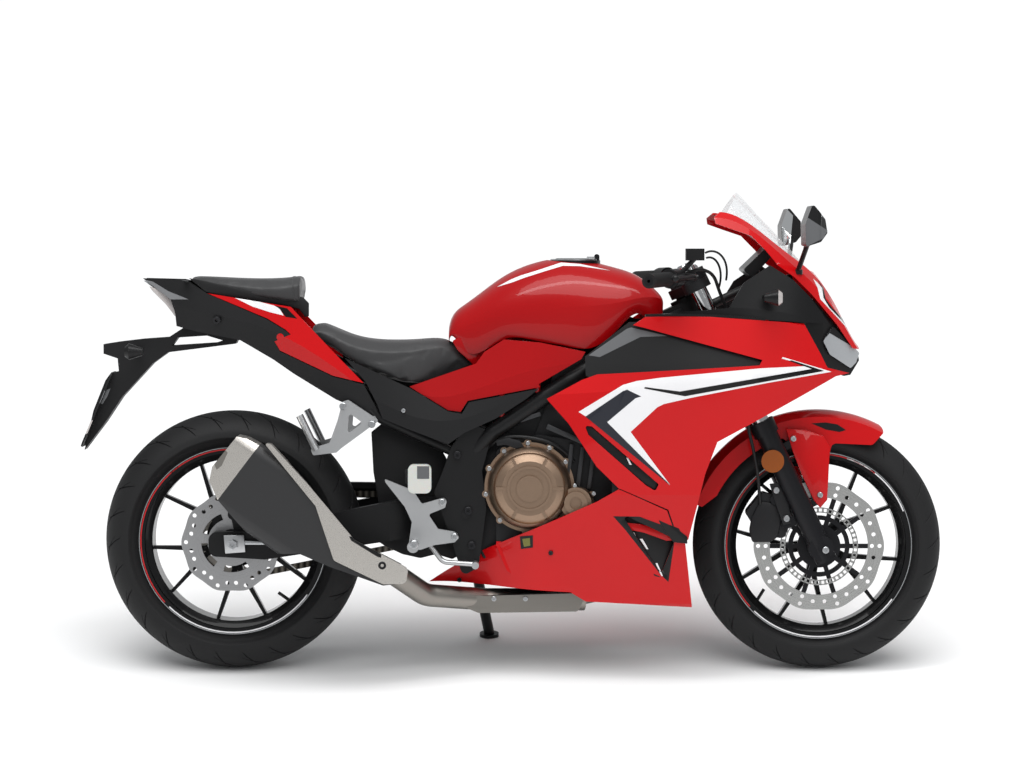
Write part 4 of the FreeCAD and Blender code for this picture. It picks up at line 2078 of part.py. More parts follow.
# A piece on the left is notched where the pieces on its right already stand
seating = [
    ("front_brake_hose", ["hand_controls", "front_caliper"]),
    ("engine_block", ["frame"]),
    ("exhaust_pipe", ["engine_block", "muffler", "radiator"]),
    ("engine_covers", ["frame", "engine_block"]),
    ("chain_guards", ["swingarm", "frame"]),
    ("side_covers", ["frame"]),
    ("side_cowl_right", ["engine_block", "radiator"]),
    ("side_cowl_left", ["engine_block", "radiator"]),
    ("tank_side_covers", ["frame", "side_covers"]),
    ("fuel_tank", ["frame", "tank_side_covers"]),
    ("rider_seat", ["fuel_tank", "frame"]),
    ("tail_cowls", ["frame", "pillion_seat", "rider_seat"]),
    ("tail_side_panels", ["tail_cowls", "frame", "pillion_seat", "rider_seat", "side_covers"]),
    ("plate_bracket", ["tail_side_panels", "frame"]),
    ("indicators", ["plate_bracket", "inner_cowls"]),
    ("tail_light", ["tail_side_panels"]),
    ("inner_cowls", ["side_cowl_right", "side_cowl_left"]),
    ("upper_cowl", ["windscreen"]),
    ("headlights", ["upper_cowl"]),
    ("nose_panel", ["upper_cowl", "headlights", "inner_cowls"]),
    ("front_stay", ["frame", "nose_panel", "instrument_panel", "upper_cowl", "windscreen"]),
    ("mirrors", ["upper_cowl"]),
    ("lower_cowl_right", ["engine_block", "side_cowl_right"]),
    ("lower_cowl_left", ["engine_block", "side_cowl_left"]),
    ("footpeg_brackets", ["frame", "side_covers", "tail_side_panels"]),
    ("rear_shock", ["swingarm", "frame"]),
    ("rear_reservoir", ["footpeg_brackets"]),
]
smallest_piece_share = 0.02


def seated(nodes):
    """Notch each piece where its neighbours pass, and drop the crumbs that this leaves."""
    for name, neighbours in seating:
        whole = nodes[name]
        trimmed = whole.cut([nodes[neighbour] for neighbour in neighbours])
        smallest = smallest_piece_share * max(solid.Volume for solid in whole.Solids)
        nodes[name] = grouped([solid for solid in trimmed.Solids if solid.Volume > smallest])
    return nodes


def origin_shift(nodes):
    """The move that brings the origin under the middle of the leaning bike's box."""
    box = grouped(list(nodes.values())).optimalBoundingBox(True, False)
    return FreeCAD.Vector(-(box.XMin + box.XMax) / 2, -(box.YMin + box.YMax) / 2, -box.ZMin)


def placed(nodes):
    """Every node leaned over onto the stand and moved to the part's own origin."""
    leaning = {name: leaned(shape) for name, shape in nodes.items()}
    shift = origin_shift(leaning)
    for shape in leaning.values():
        shape.translate(shift)
    return leaning


def main():
    os.makedirs("parts", exist_ok=True)
    for name, shape in placed(build_nodes()).items():
        shape.exportStep("parts/" + name + ".step")


if __name__ == "__main__":
    main()
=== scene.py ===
# %% [markdown]
# A sport bike on its side stand
#
# The metal parts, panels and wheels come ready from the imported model. This script gives them their
# finishes and adds what is too fine for the model: tread, seams, stripes, bolts, cables and lamp glass.
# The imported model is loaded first, and nothing in it is moved.

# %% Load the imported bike
import json
import math

import bpy
from mathutils import Matrix, Vector


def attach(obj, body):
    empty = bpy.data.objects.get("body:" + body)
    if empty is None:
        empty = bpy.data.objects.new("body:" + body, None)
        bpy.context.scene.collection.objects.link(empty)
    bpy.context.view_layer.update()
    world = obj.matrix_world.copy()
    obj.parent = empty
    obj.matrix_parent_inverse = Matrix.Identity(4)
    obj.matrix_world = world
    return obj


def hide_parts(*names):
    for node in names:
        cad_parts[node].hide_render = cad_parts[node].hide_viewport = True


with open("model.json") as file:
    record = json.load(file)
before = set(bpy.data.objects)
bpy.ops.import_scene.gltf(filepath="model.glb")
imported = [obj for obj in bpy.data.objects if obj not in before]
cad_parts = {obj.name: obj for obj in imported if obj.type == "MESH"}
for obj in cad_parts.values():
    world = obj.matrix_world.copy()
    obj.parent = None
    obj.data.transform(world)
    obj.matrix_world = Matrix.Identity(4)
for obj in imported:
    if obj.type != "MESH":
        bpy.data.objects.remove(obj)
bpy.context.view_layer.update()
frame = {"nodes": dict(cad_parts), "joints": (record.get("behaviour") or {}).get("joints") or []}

# %% [markdown]
# The bike leans on its stand, but every piece on it is easier to shape upright. So each new piece is made
# on an upright bike, with x forward from the rear axle, y to the left and z up, and one matrix then leans
# it over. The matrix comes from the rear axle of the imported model.

# %% Lean of the bike
MM = 0.001
WHEELBASE = 1.410
HEIGHT = 1.145
REAR_AXLE = Vector((0, 0, 0.312))
FRONT_AXLE = Vector((WHEELBASE, 0, 0.300))
ACROSS = Vector((0, 1, 0))
RIGHTWARD = Vector((0, -1, 0))
joints = {joint["name"]: joint for joint in frame["joints"]}
axle_direction = Vector(joints["rear_wheel_spin"]["axis"])
lean_turn = Matrix.Rotation(math.atan2(axle_direction.z, axle_direction.y), 4, "X")
LEAN = Matrix.Translation(Vector(joints["rear_wheel_spin"]["pos_m"]) - lean_turn @ REAR_AXLE) @ lean_turn
UPRIGHT = LEAN.inverted()
TO_OTHER_SIDE = LEAN @ Matrix.Scale(-1, 4, ACROSS) @ UPRIGHT
print("lean in degrees:", round(math.degrees(math.atan2(-axle_direction.z, axle_direction.y)), 2))

# %% [markdown]
# Camera and light come first. The camera stands far off with a long lens, level with the tank and square to
# the bike's right side, and leans with it, so that the bike fills the frame as it would upright. A wide soft
# sun and a pale sky give even studio light, and two large lamps draw the long highlights on the paint.

# %% Camera
CAMERA_PLACE = Vector((0.672, -7.450, 1.028))
CAMERA_PITCH = math.radians(2.62)
LENS_MM = 108.3
SENSOR_MM = 36
FAR_CLIP = 200
camera_data = bpy.data.cameras.new("camera")
camera_data.lens = LENS_MM
camera_data.sensor_width = SENSOR_MM
camera_data.clip_end = FAR_CLIP
camera = bpy.data.objects.new("camera", camera_data)
bpy.context.scene.collection.objects.link(camera)
camera_turn = Matrix.Rotation(math.pi / 2 - CAMERA_PITCH, 4, "X")
camera.matrix_world = LEAN @ Matrix.Translation(CAMERA_PLACE) @ camera_turn
bpy.context.scene.camera = camera
print("camera at", [round(c, 3) for c in camera.matrix_world.translation])


# %% One function for nodes, one for links, one for colours
def add_node(finish, kind, inputs=None, **settings):
    """Adds a shader node with its settings. An input is a value or another node's output."""
    node = finish.node_tree.nodes.new("ShaderNode" + kind)
    for name, value in settings.items():
        setattr(node, name, value)
    for name, value in (inputs or {}).items():
        if isinstance(value, bpy.types.NodeSocket):
            finish.node_tree.links.new(value, node.inputs[name])
        else:
            node.inputs[name].default_value = value
    return node


def feed(finish, output, socket):
    """Links an output to one of the surface shader's own sockets."""
    finish.node_tree.links.new(output, finish.node_tree.nodes["Principled BSDF"].inputs[socket])


def linear(hex_code):
    """An sRGB hex colour as the linear numbers that shaders read."""
    shares = [int(hex_code[i:i + 2], 16) / 255 for i in (1, 3, 5)]
    return [c / 12.92 if c <= 0.04045 else ((c + 0.055) / 1.055) ** 2.4 for c in shares] + [1.0]


def new_finish(name, hex_code, **sockets):
    """A material with one colour and values for the shader's sockets, each under its own name."""
    finish = bpy.data.materials.new(name)
    finish.use_nodes = True
    shader = finish.node_tree.nodes["Principled BSDF"]
    shader.inputs["Base Color"].default_value = linear(hex_code)
    for key, value in sockets.items():
        shader.inputs[key.replace("_", " ").title().replace("Ior", "IOR")].default_value = value
    return finish


# %% Sky, sun and lamps
SKY_STRENGTH = 0.42
scene = bpy.context.scene
scene.view_settings.view_transform = "Standard"
sky = bpy.data.worlds.new("studio_sky")
sky.use_nodes = True
sky.node_tree.nodes["Background"].inputs["Color"].default_value = linear("#F4F6F8")
sky.node_tree.nodes["Background"].inputs["Strength"].default_value = SKY_STRENGTH
scene.world = sky


def add_lamp(name, kind, place, aim, energy, **settings):
    """A lamp at one place that points at another."""
    data = bpy.data.lights.new(name, kind)
    data.energy = energy
    for key, value in settings.items():
        setattr(data, key, value)
    lamp = bpy.data.objects.new(name, data)
    lamp.location = place
    lamp.rotation_mode = "QUATERNION"
    lamp.rotation_quaternion = (Vector(aim) - Vector(place)).to_track_quat("-Z", "Y")
    scene.collection.objects.link(lamp)


MIDDLE = (0, 0, 0.6)
add_lamp("soft_sun", "SUN", (0, -2, 6), (0, 0, 0), 2.5, angle=math.radians(60))
add_lamp("roof_lamp", "AREA", (0.2, -0.6, 3.2), MIDDLE, 24, shape="RECTANGLE", size=3.6, size_y=0.35)
add_lamp("side_lamp", "AREA", (1.6, -3.6, 2.6), MIDDLE, 10, shape="RECTANGLE", size=2.6, size_y=0.3)

# %% Floor
# Matt studio paper has no highlight of its own, so the bike's shadow lies on it softly.
FLOOR_SIZE = 80
bpy.ops.object.select_all(action="DESELECT")
bpy.ops.mesh.primitive_plane_add(size=FLOOR_SIZE, location=(0, 0, 0))
floor = bpy.context.object
floor.name = "floor"
paper = new_finish("matt_studio_paper", "#F6F6F6", roughness=0.9)
paper_place = add_node(paper, "TexCoord").outputs["Object"]
mottle = add_node(paper, "TexNoise", {"Scale": 3.0, "Detail": 3.0, "Vector": paper_place})
tint = add_node(paper, "MapRange", {"Value": mottle.outputs["Fac"], "To Min": 0.86, "To Max": 0.94})
feed(paper, tint.outputs["Result"], "Roughness")
floor.data.materials.append(paper)
print("floor:", FLOOR_SIZE, "m wide")

# %% [markdown]
# Finishes. Painted panels are glossy enamel under clear lacquer, plastics are moulded with a fine grain,
# castings are sandy, and steel and alloy carry the lines of the tool that finished them. Three patterns
# make these: a grain, brushed lines, and rings turned about a wheel's axle.

# %% Patterns for the finishes
MIX_LOW, MIX_HIGH, MIX_RESULT = 6, 7, 2


def give_bump(finish, pattern, height_mm, strength=1.0):
    """Turns a pattern into relief of a real height."""
    bump = add_node(finish, "Bump", {"Height": pattern, "Distance": height_mm * MM, "Strength": strength})
    feed(finish, bump.outputs["Normal"], "Normal")


def give_roughness(finish, pattern, low, high):
    """Lets a pattern vary the roughness between two values, about the middle one."""
    finish.node_tree.nodes["Principled BSDF"].inputs["Roughness"].default_value = (low + high) / 2
    spread = add_node(finish, "MapRange", {"Value": pattern, "From Min": 0.3, "From Max": 0.7,
                                           "To Min": low, "To Max": high})
    feed(finish, spread.outputs["Result"], "Roughness")


def give_tint(finish, pattern, hex_low, hex_high):
    """Lets a pattern vary the colour between two shades."""
    shades = {"Factor": pattern, MIX_LOW: linear(hex_low), MIX_HIGH: linear(hex_high)}
    mix = add_node(finish, "Mix", shades, data_type="RGBA")
    feed(finish, mix.outputs[MIX_RESULT], "Base Color")


def noise_of(finish, size_mm, stretch=(1, 1, 1), detail=3.0):
    """Noise whose spots measure size_mm, drawn out along an axis where stretch is under 1."""
    place = add_node(finish, "TexCoord").outputs["Object"]
    placed = add_node(finish, "Mapping", {"Vector": place, "Scale": stretch})
    noise = add_node(finish, "TexNoise", {"Vector": placed.outputs["Vector"], "Scale": 1 / (size_mm * MM),
                                          "Detail": detail})
    return noise.outputs["Fac"]


def grained(name, hex_code, spot_mm, relief_mm, low, high, **sockets):
    """A finish with a moulded or cast grain: relief and matching spots of roughness."""
    finish = new_finish(name, hex_code, **sockets)
    spots = noise_of(finish, spot_mm)
    give_bump(finish, spots, relief_mm)
    give_roughness(finish, spots, low, high)
    return finish


def turned_rings(name, hex_code, axle, low, high, line_mm=0.9, relief_mm=0.03):
    """Steel with rings about a wheel's axle, as grinding leaves them on a disc."""
    finish = new_finish(name, hex_code, metallic=1.0)
    place = add_node(finish, "TexCoord").outputs["Object"]
    placed = add_node(finish, "Mapping", {"Vector": place, "Location": -(LEAN @ axle)})
    across = add_node(finish, "VectorMath", {0: placed.outputs["Vector"], 1: LEAN.to_3x3() @ ACROSS},
                      operation="PROJECT")
    radial = add_node(finish, "VectorMath", {0: placed.outputs["Vector"], 1: across.outputs["Vector"]},
                      operation="SUBTRACT")
    radius = add_node(finish, "VectorMath", {0: radial.outputs["Vector"]}, operation="LENGTH")
    rings = add_node(finish, "TexNoise", {"W": radius.outputs["Value"], "Scale": 1 / (line_mm * MM),
                                          "Detail": 3.0}, noise_dimensions="1D")
    give_roughness(finish, rings.outputs["Fac"], low, high)
    give_bump(finish, rings.outputs["Fac"], relief_mm, 0.4)
    return finish


def enamel(name, hex_code, shade_code):
    """Glossy enamel under lacquer: a faint orange peel of 2 mm and slow changes of depth."""
    paint = new_finish(name, hex_code, roughness=0.35, specular_ior_level=0.12, coat_weight=0.38,
                       coat_roughness=0.03)
    give_tint(paint, noise_of(paint, 160.0), shade_code, hex_code)
    give_bump(paint, noise_of(paint, 2.2), 0.006, 0.5)
    return paint


# %% Paints and plastics
# Enamel on steel and ABS panels is deep and wet; the tank's is darker, as painted shade of its sides.
red_enamel = enamel("red_enamel", "#C4070D", "#BA060C")
tank_shaded_enamel = enamel("tank_red_painted_shade_enamel", "#A50409", "#960308")
black_enamel = enamel("black_enamel", "#0A0A0B", "#080809")
# Printed vinyl film lies under the same lacquer, flat and even in colour.
white_film = enamel("white_vinyl_film", "#E9E8E9", "#E3E3E5")
navy_film = enamel("slate_vinyl_film", "#24262F", "#21232B")
# Cast wheels are enamelled too, so one sharp highlight runs along each spoke.
wheel_enamel = enamel("wheel_black_enamel", "#0E0E0F", "#0B0B0C")
# Injection-moulded ABS is dull where its mould was etched and has a low shine where it was polished.
moulded_abs = grained("moulded_black_abs", "#1B1B1C", 0.9, 0.05, 0.42, 0.6, specular_ior_level=0.22)
smooth_abs = grained("smooth_black_abs", "#151516", 1.6, 0.01, 0.28, 0.38, specular_ior_level=0.25)
satin_grey = grained("satin_grey_abs", "#5C5D5F", 1.2, 0.01, 0.34, 0.44, specular_ior_level=0.4)
# Powder coat on welded steel is slightly pebbled.
powder_coat = grained("frame_powder_coat", "#141415", 1.4, 0.02, 0.33, 0.46, specular_ior_level=0.25)
# The fluid box is milky resin that lets a little light in, and the reflectors are clear amber acrylic.
white_resin = grained("fluid_box_resin", "#C9CAC4", 1.5, 0.01, 0.3, 0.42, subsurface_weight=0.15)
amber_lens = grained("amber_acrylic", "#8C4606", 3.0, 0.05, 0.08, 0.18, coat_weight=0.4)
# Vulcanised rubber is matt and nearly black, and a hose's wall is a little smoother than a tyre's.
tyre_rubber = grained("tyre_rubber", "#171718", 1.1, 0.05, 0.58, 0.75, specular_ior_level=0.3)
grip_rubber = grained("grip_rubber", "#151516", 1.2, 0.06, 0.6, 0.78, specular_ior_level=0.3)
hose_rubber = grained("hose_rubber", "#111112", 1.5, 0.02, 0.42, 0.55, specular_ior_level=0.35)
print("finishes so far:", len(bpy.data.materials))

# %% [markdown]
# Metals keep the shader's own IOR and take their look from colour, roughness and tool marks. The discs are
# ground, the exhaust pipe is belt-brushed, and the clutch cover is a casting under bronze paint. A wave
# texture repeats every 314 mm at a scale of 1, which turns a pitch in millimetres into its scale.

# %% Metals
WAVE_LENGTH_MM = 314
CHAIN_PITCH_MM = 15.9
FIN_PITCH_MM = 3.768
# Stainless discs are ground in fine rings that catch the light as a fan.
ground_steel = turned_rings("ground_disc_steel", "#BDBDBB", FRONT_AXLE, 0.2, 0.42)
rear_steel = turned_rings("ground_rear_disc_steel", "#A8A8A9", REAR_AXLE, 0.26, 0.48)
# Hard anodised alloy is nearly black with a soft metallic edge.
hard_coat = grained("black_anodised_alloy", "#17171A", 0.8, 0.02, 0.3, 0.44, metallic=0.3,
                    specular_ior_level=0.3)
# Sand castings show their pores through black or bronze paint, and less so where they are bare.
cast_black = grained("black_painted_casting", "#171719", 1.4, 0.12, 0.42, 0.62, specular_ior_level=0.28)
bronze_paint = grained("bronze_painted_casting", "#97806D", 1.2, 0.04, 0.32, 0.48, metallic=1.0)
cast_alloy = grained("bare_cast_alloy", "#C2C3C4", 1.4, 0.03, 0.28, 0.44, metallic=1.0)
dark_satin = grained("dark_grey_casting", "#2F3032", 1.2, 0.05, 0.36, 0.52, metallic=0.2)
# Hard chrome on the fork tubes is almost a mirror.
chrome_tube = grained("hard_chrome", "#C9CACB", 6.0, 0.004, 0.08, 0.14, metallic=1.0)
# The oiled chain is light on its plates and dark between its links.
chain_metal = new_finish("oiled_chain_steel", "#6E6A63", metallic=0.9)
give_roughness(chain_metal, noise_of(chain_metal, 1.4), 0.3, 0.5)
chain_waves = {"Vector": add_node(chain_metal, "TexCoord").outputs["Object"],
               "Scale": WAVE_LENGTH_MM / CHAIN_PITCH_MM}
links = add_node(chain_metal, "TexWave", chain_waves, bands_direction="X")
give_tint(chain_metal, links.outputs["Fac"], "#2B2825", "#837D74")
give_bump(chain_metal, links.outputs["Fac"], 0.8)
# Zinc plate and black oxide on fasteners: one pale and bright, one dark and satin.
zinc_plate = grained("zinc_plated_steel", "#B9BBBD", 1.0, 0.02, 0.22, 0.4, metallic=1.0)
black_bolt = grained("black_oxide_steel", "#2A2A2C", 1.0, 0.02, 0.34, 0.48, metallic=0.8)
# The stainless pipe is brushed lengthwise, so its highlight is drawn out along it.
pipe_steel = new_finish("stainless_pipe", "#8E8A84", metallic=1.0)
brush_lines = noise_of(pipe_steel, 1.0, (0.02, 1, 1), 2.0)
give_roughness(pipe_steel, brush_lines, 0.28, 0.46)
give_bump(pipe_steel, brush_lines, 0.02, 0.5)
# The muffler has a satin black sleeve and a silvery satin shield.
sleeve_paint = grained("muffler_satin_paint", "#2C2C2D", 1.0, 0.03, 0.34, 0.48, metallic=0.2)
brushed_silver = grained("satin_silver_steel", "#DDD8D1", 1.2, 0.005, 0.24, 0.33, metallic=1.0)
# The radiator's fins are black and so close that they read as fine level lines.
fin_black = new_finish("radiator_fin_black", "#0F0F10", roughness=0.6, metallic=0.3)
fin_waves = {"Vector": add_node(fin_black, "TexCoord").outputs["Object"],
             "Scale": WAVE_LENGTH_MM / FIN_PITCH_MM}
fin_rows = add_node(fin_black, "TexWave", fin_waves, bands_direction="Z")
give_bump(fin_black, fin_rows.outputs["Fac"], 0.6)
print("metals ready:", len(bpy.data.materials))

# %% [markdown]
# Clear parts: the screen is thin polycarbonate, the headlamp glass is slightly smoked and pale from a painted
# reflection of its reflector, and the seats are grained vinyl. Vinyl has a soft sheen and a leather-like
# grain of about a millimetre.

# %% Clear parts, vinyl and tape
PEBBLE_MM = 1.6
# Clear polycarbonate shows mostly as its edges and one broad reflection.
screen_plastic = new_finish("clear_polycarbonate", "#EEF1F3", alpha=0.24, coat_weight=1.0,
                            coat_roughness=0.03)
give_roughness(screen_plastic, noise_of(screen_plastic, 40.0), 0.04, 0.08)
# Lamp glass has a bright reflector behind it; its pale colour is a painted reflection of it, under a glossy
# coat.
lamp_glass = new_finish("lamp_polycarbonate_painted_reflection", "#A9ACAF", metallic=0.15, coat_weight=1.0, coat_roughness=0.02)
give_roughness(lamp_glass, noise_of(lamp_glass, 30.0), 0.06, 0.14)
pale_lens = grained("pale_acrylic_lens", "#B9B3B1", 4.0, 0.04, 0.1, 0.2, coat_weight=0.6)
grey_lens = grained("grey_acrylic_lens", "#77787A", 4.0, 0.04, 0.1, 0.2, coat_weight=0.6)
window_olive = grained("olive_window", "#6B6A22", 2.0, 0.02, 0.25, 0.4)
# Seat vinyl is embossed with leather's pebbles and goes paler at a grazing angle.
seat_vinyl = new_finish("grained_seat_vinyl", "#2B2B2C", sheen_weight=0.3, sheen_roughness=0.4)
pebble_cells = {"Vector": add_node(seat_vinyl, "TexCoord").outputs["Object"], "Scale": 1 / (PEBBLE_MM * MM)}
pebbles = add_node(seat_vinyl, "TexVoronoi", pebble_cells)
give_bump(seat_vinyl, pebbles.outputs["Distance"], 0.18)
give_roughness(seat_vinyl, noise_of(seat_vinyl, 25.0), 0.5, 0.62)
# Silvered glass takes all its colour from the sky.
mirror_glass = new_finish("mirror_glass", "#E8EAEB", metallic=1.0)
give_roughness(mirror_glass, noise_of(mirror_glass, 50.0), 0.02, 0.04)
# Rim tape is an even red with a slight pebble.
red_tape = new_finish("red_rim_tape", "#B3060E", roughness=0.4)
give_bump(red_tape, noise_of(red_tape, 1.5), 0.02)
print("all finishes:", len(bpy.data.materials))

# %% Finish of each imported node
nodes_in_finish = [
    (tyre_rubber, "front_tyre rear_tyre"),
    (wheel_enamel, "front_rim rear_rim"),
    (ground_steel, "front_disc"),
    (rear_steel, "rear_disc"),
    (hard_coat, "front_disc_carrier fork_legs handlebars fuel_cap_ring"),
    (pipe_steel, "rear_sprocket exhaust_pipe"),
    (chain_metal, "chain"),
    (powder_coat, "frame swingarm front_stay rear_shock side_stand"),
    (cast_black, "engine_block yokes front_caliper rear_caliper"),
    (chrome_tube, "fork_tubes"),
    (grip_rubber, "grips"),
    (hose_rubber, "front_brake_hose"),
    (moulded_abs, "chain_guards side_covers tail_side_panels plate_bracket"),
    (smooth_abs, "hand_controls inner_cowls nose_panel indicators mirrors instrument_panel"),
    (red_enamel, "front_mudguard mudguard_flap side_cowl_right side_cowl_left lower_cowl_right "
                 "lower_cowl_left upper_cowl tail_cowls"),
    (tank_shaded_enamel, "fuel_tank tank_side_covers"),
    (amber_lens, "reflectors"),
    (bronze_paint, "engine_covers"),
    (fin_black, "radiator"),
    (sleeve_paint, "muffler"),
    (brushed_silver, "muffler_covers"),
    (screen_plastic, "windscreen"),
    (lamp_glass, "headlights tail_light"),
    (cast_alloy, "fuel_cap footpeg_brackets footpegs foot_controls"),
    (seat_vinyl, "rider_seat pillion_seat"),
    (white_resin, "rear_reservoir"),
]
unfinished = set(frame["nodes"])
for finish, node_names in nodes_in_finish:
    for node_name in node_names.split():
        node_mesh = frame["nodes"][node_name].data
        node_mesh.materials.clear()
        node_mesh.materials.append(finish)
        unfinished.remove(node_name)
print("nodes without a finish:", sorted(unfinished))

# %% [markdown]
# New pieces are shaped upright and leaned over at the end. A few helpers do what every piece needs: select
# it alone, open it for editing with chosen faces selected, and settle it on the body that it rides on, with
# a twin on the bike's other side where it has one.

# %% Helpers for every piece
SMOOTH_ANGLE = math.radians(35)


def pick_only(*pieces):
    """Selects these pieces alone and makes the first one active."""
    bpy.ops.object.select_all(action="DESELECT")
    for piece in pieces:
        piece.select_set(True)
    bpy.context.view_layer.objects.active = pieces[0]


def open_faces(piece, chosen=None):
    """Opens a piece for editing with the chosen faces selected, or all of them."""
    pick_only(piece)
    bpy.ops.object.mode_set(mode="EDIT")
    bpy.ops.mesh.select_mode(type="FACE")
    bpy.ops.mesh.select_all(action="SELECT" if chosen is None else "DESELECT")
    if chosen is not None:
        bpy.ops.object.mode_set(mode="OBJECT")
        for face in piece.data.polygons:
            face.select = chosen(face)
        bpy.ops.object.mode_set(mode="EDIT")


def close_faces(recalculate=False):
    """Ends editing, with the normals turned outwards where that is asked for."""
    if recalculate:
        bpy.ops.mesh.select_all(action="SELECT")
        bpy.ops.mesh.normals_make_consistent(inside=False)
    bpy.ops.object.mode_set(mode="OBJECT")


def add_modifier(piece, kind, **settings):
    """Adds a modifier with its settings."""
    modifier = piece.modifiers.new(kind.lower(), kind)
    for key, value in settings.items():
        setattr(modifier, key, value)
    return modifier


def apply_modifiers(piece):
    """Makes the shape that the modifiers give the piece's own."""
    pick_only(piece)
    for modifier in list(piece.modifiers):
        bpy.ops.object.modifier_apply(modifier=modifier.name)


def own_copy(piece):
    """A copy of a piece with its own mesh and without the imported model's marks."""
    copy = piece.copy()
    copy.data = piece.data.copy()
    for key in list(copy.keys()):
        del copy[key]
    scene.collection.objects.link(copy)
    copy.parent = None
    return copy


def merged_copy(node):
    """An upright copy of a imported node, whose loose triangles are merged into one skin."""
    copy = own_copy(frame["nodes"][node])
    copy.data.transform(UPRIGHT)
    open_faces(copy)
    bpy.ops.mesh.remove_doubles(threshold=0.01 * MM)
    close_faces()
    return copy


def join_as_one(parts):
    """Joins separate parts into one piece."""
    pick_only(*parts)
    if len(parts) > 1:
        bpy.ops.object.join()
    return parts[0]


def settle(piece, name, body, finish, side=None):
    """Leans a finished upright piece over with the bike and lets it ride on its body. Where it belongs to one
    side, its name says so, and its twin is made on the other."""
    pick_only(piece)
    bpy.ops.object.transform_apply(location=True, rotation=True, scale=True)
    piece.data.transform(LEAN)
    piece.name = f"{name}_{side}" if side else name
    piece.data.materials.clear()
    piece.data.materials.append(finish)
    bpy.ops.object.shade_smooth_by_angle(angle=SMOOTH_ANGLE)
    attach(piece, body)
    if side:
        twin = piece.copy()
        twin.data = piece.data.copy()
        scene.collection.objects.link(twin)
        twin.data.transform(TO_OTHER_SIDE)
        twin.data.flip_normals()
        twin.name = name + ("_left" if side == "right" else "_right")
    print(piece.name, "faces:", len(piece.data.polygons))
    return piece


# %% [markdown]
# Places come from the picture. A sight line through a column and a row of it either stops at a chosen depth
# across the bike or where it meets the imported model, so a bolt or a stripe lies on the surface that carries
# it. The scale is a real size: what one pixel covers at the middle of the bike.

# %% Places along sight lines
MIDDLE_COLUMN = 512
CAMERA_ROW = 243
PIXEL_MM = 2.418


def seen(column, row, y):
    """The place at depth y that shows at a column and row of the picture."""
    nearness = (y - CAMERA_PLACE.y) / -CAMERA_PLACE.y
    x = CAMERA_PLACE.x + (column - MIDDLE_COLUMN) * PIXEL_MM * MM * nearness
    z = CAMERA_PLACE.z + (CAMERA_ROW - row) * PIXEL_MM * MM * nearness
    return Vector((x, y, z))


def touched(node, column, row):
    """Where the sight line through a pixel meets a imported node, and the way that its face looks, upright.
    Without a node, the first surface of the whole bike."""
    start = LEAN @ CAMERA_PLACE
    way = (LEAN @ seen(column, row, 0.0) - start).normalized()
    hits = []
    shown = [name for name, packed in frame["nodes"].items() if packed.visible_get()]
    for name in [node] if node else shown:
        hit, place, normal, _ = frame["nodes"][name].ray_cast(start, way)
        if hit:
            hits.append(((place - start).length, name, place, normal))
    if not hits:
        raise ValueError(f"nothing of {node} at {column}, {row}")
    _, _, place, normal = min(hits)
    return UPRIGHT @ place, UPRIGHT.to_3x3() @ normal


def depth_at(node, pixel):
    """How far across the bike a node's surface lies at a pixel."""
    return touched(node, *pixel)[0].y


def sight_block(outline, near, far):
    """A block whose sides are sight lines through an outline in the picture, between two depths."""
    sheet = bpy.data.meshes.new("outline")
    corners = [seen(column, row, near) for column, row in outline]
    sheet.from_pydata(corners, [], [list(range(len(corners)))])
    block = bpy.data.objects.new("sight_block", sheet)
    scene.collection.objects.link(block)
    open_faces(block)
    bpy.ops.mesh.extrude_region_move(TRANSFORM_OT_translate={"value": (0, 0, 0)})
    spread = (far - CAMERA_PLACE.y) / (near - CAMERA_PLACE.y)
    bpy.ops.transform.resize(value=(spread, spread, spread), center_override=CAMERA_PLACE)
    close_faces(recalculate=True)
    return block


cowl_pixel = (700, 430)
print("the right side cowl is at depth", depth_at("side_cowl_right", cowl_pixel))

# %% [markdown]
# Vinyl film. The stripes on this bike are printed film under lacquer, cut to follow the panels. Each one is
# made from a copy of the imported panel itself: a boolean keeps the part of the panel inside the stripe's
# outline, the faces that look away are deleted, and the rest is lifted off the paint by about half a
# millimetre and given a thickness. So it fits every curve. Small marks and lenses are made the same way.

# %% Film cut from a panel
RIGHT_HALF = (-0.42, -0.01)
LEFT_HALF = (0.05, 0.45)
OUTER_RIGHT = (-0.42, -0.05)
FILM_THICKNESS = 0.3 * MM
FACES_CAMERA = -0.02


def film(node, name, outline, finish, slot, lift_mm=0.5, side="right", body="chassis", depths=RIGHT_HALF):
    """The part of a packed panel inside an outline of the picture, lifted a little off the paint."""
    panel = merged_copy(node)
    cutter = sight_block(outline, *depths)
    add_modifier(panel, "BOOLEAN", operation="INTERSECT", solver="EXACT", object=cutter)
    apply_modifiers(panel)
    bpy.data.objects.remove(cutter)
    open_faces(panel, lambda face: face.normal.y > FACES_CAMERA)
    bpy.ops.mesh.delete(type="FACE")
    close_faces()
    add_modifier(panel, "DISPLACE", strength=lift_mm * MM, mid_level=0.0)
    add_modifier(panel, "SOLIDIFY", thickness=FILM_THICKNESS)
    apply_modifiers(panel)
    settle(panel, name, body, finish, side)


# %% [markdown]
# The side cowl carries a white arrow with a slate chevron and a black line in it. The tail has a white and a
# black block under the seat, and the nose a white and a black pinstripe. The words are left off.

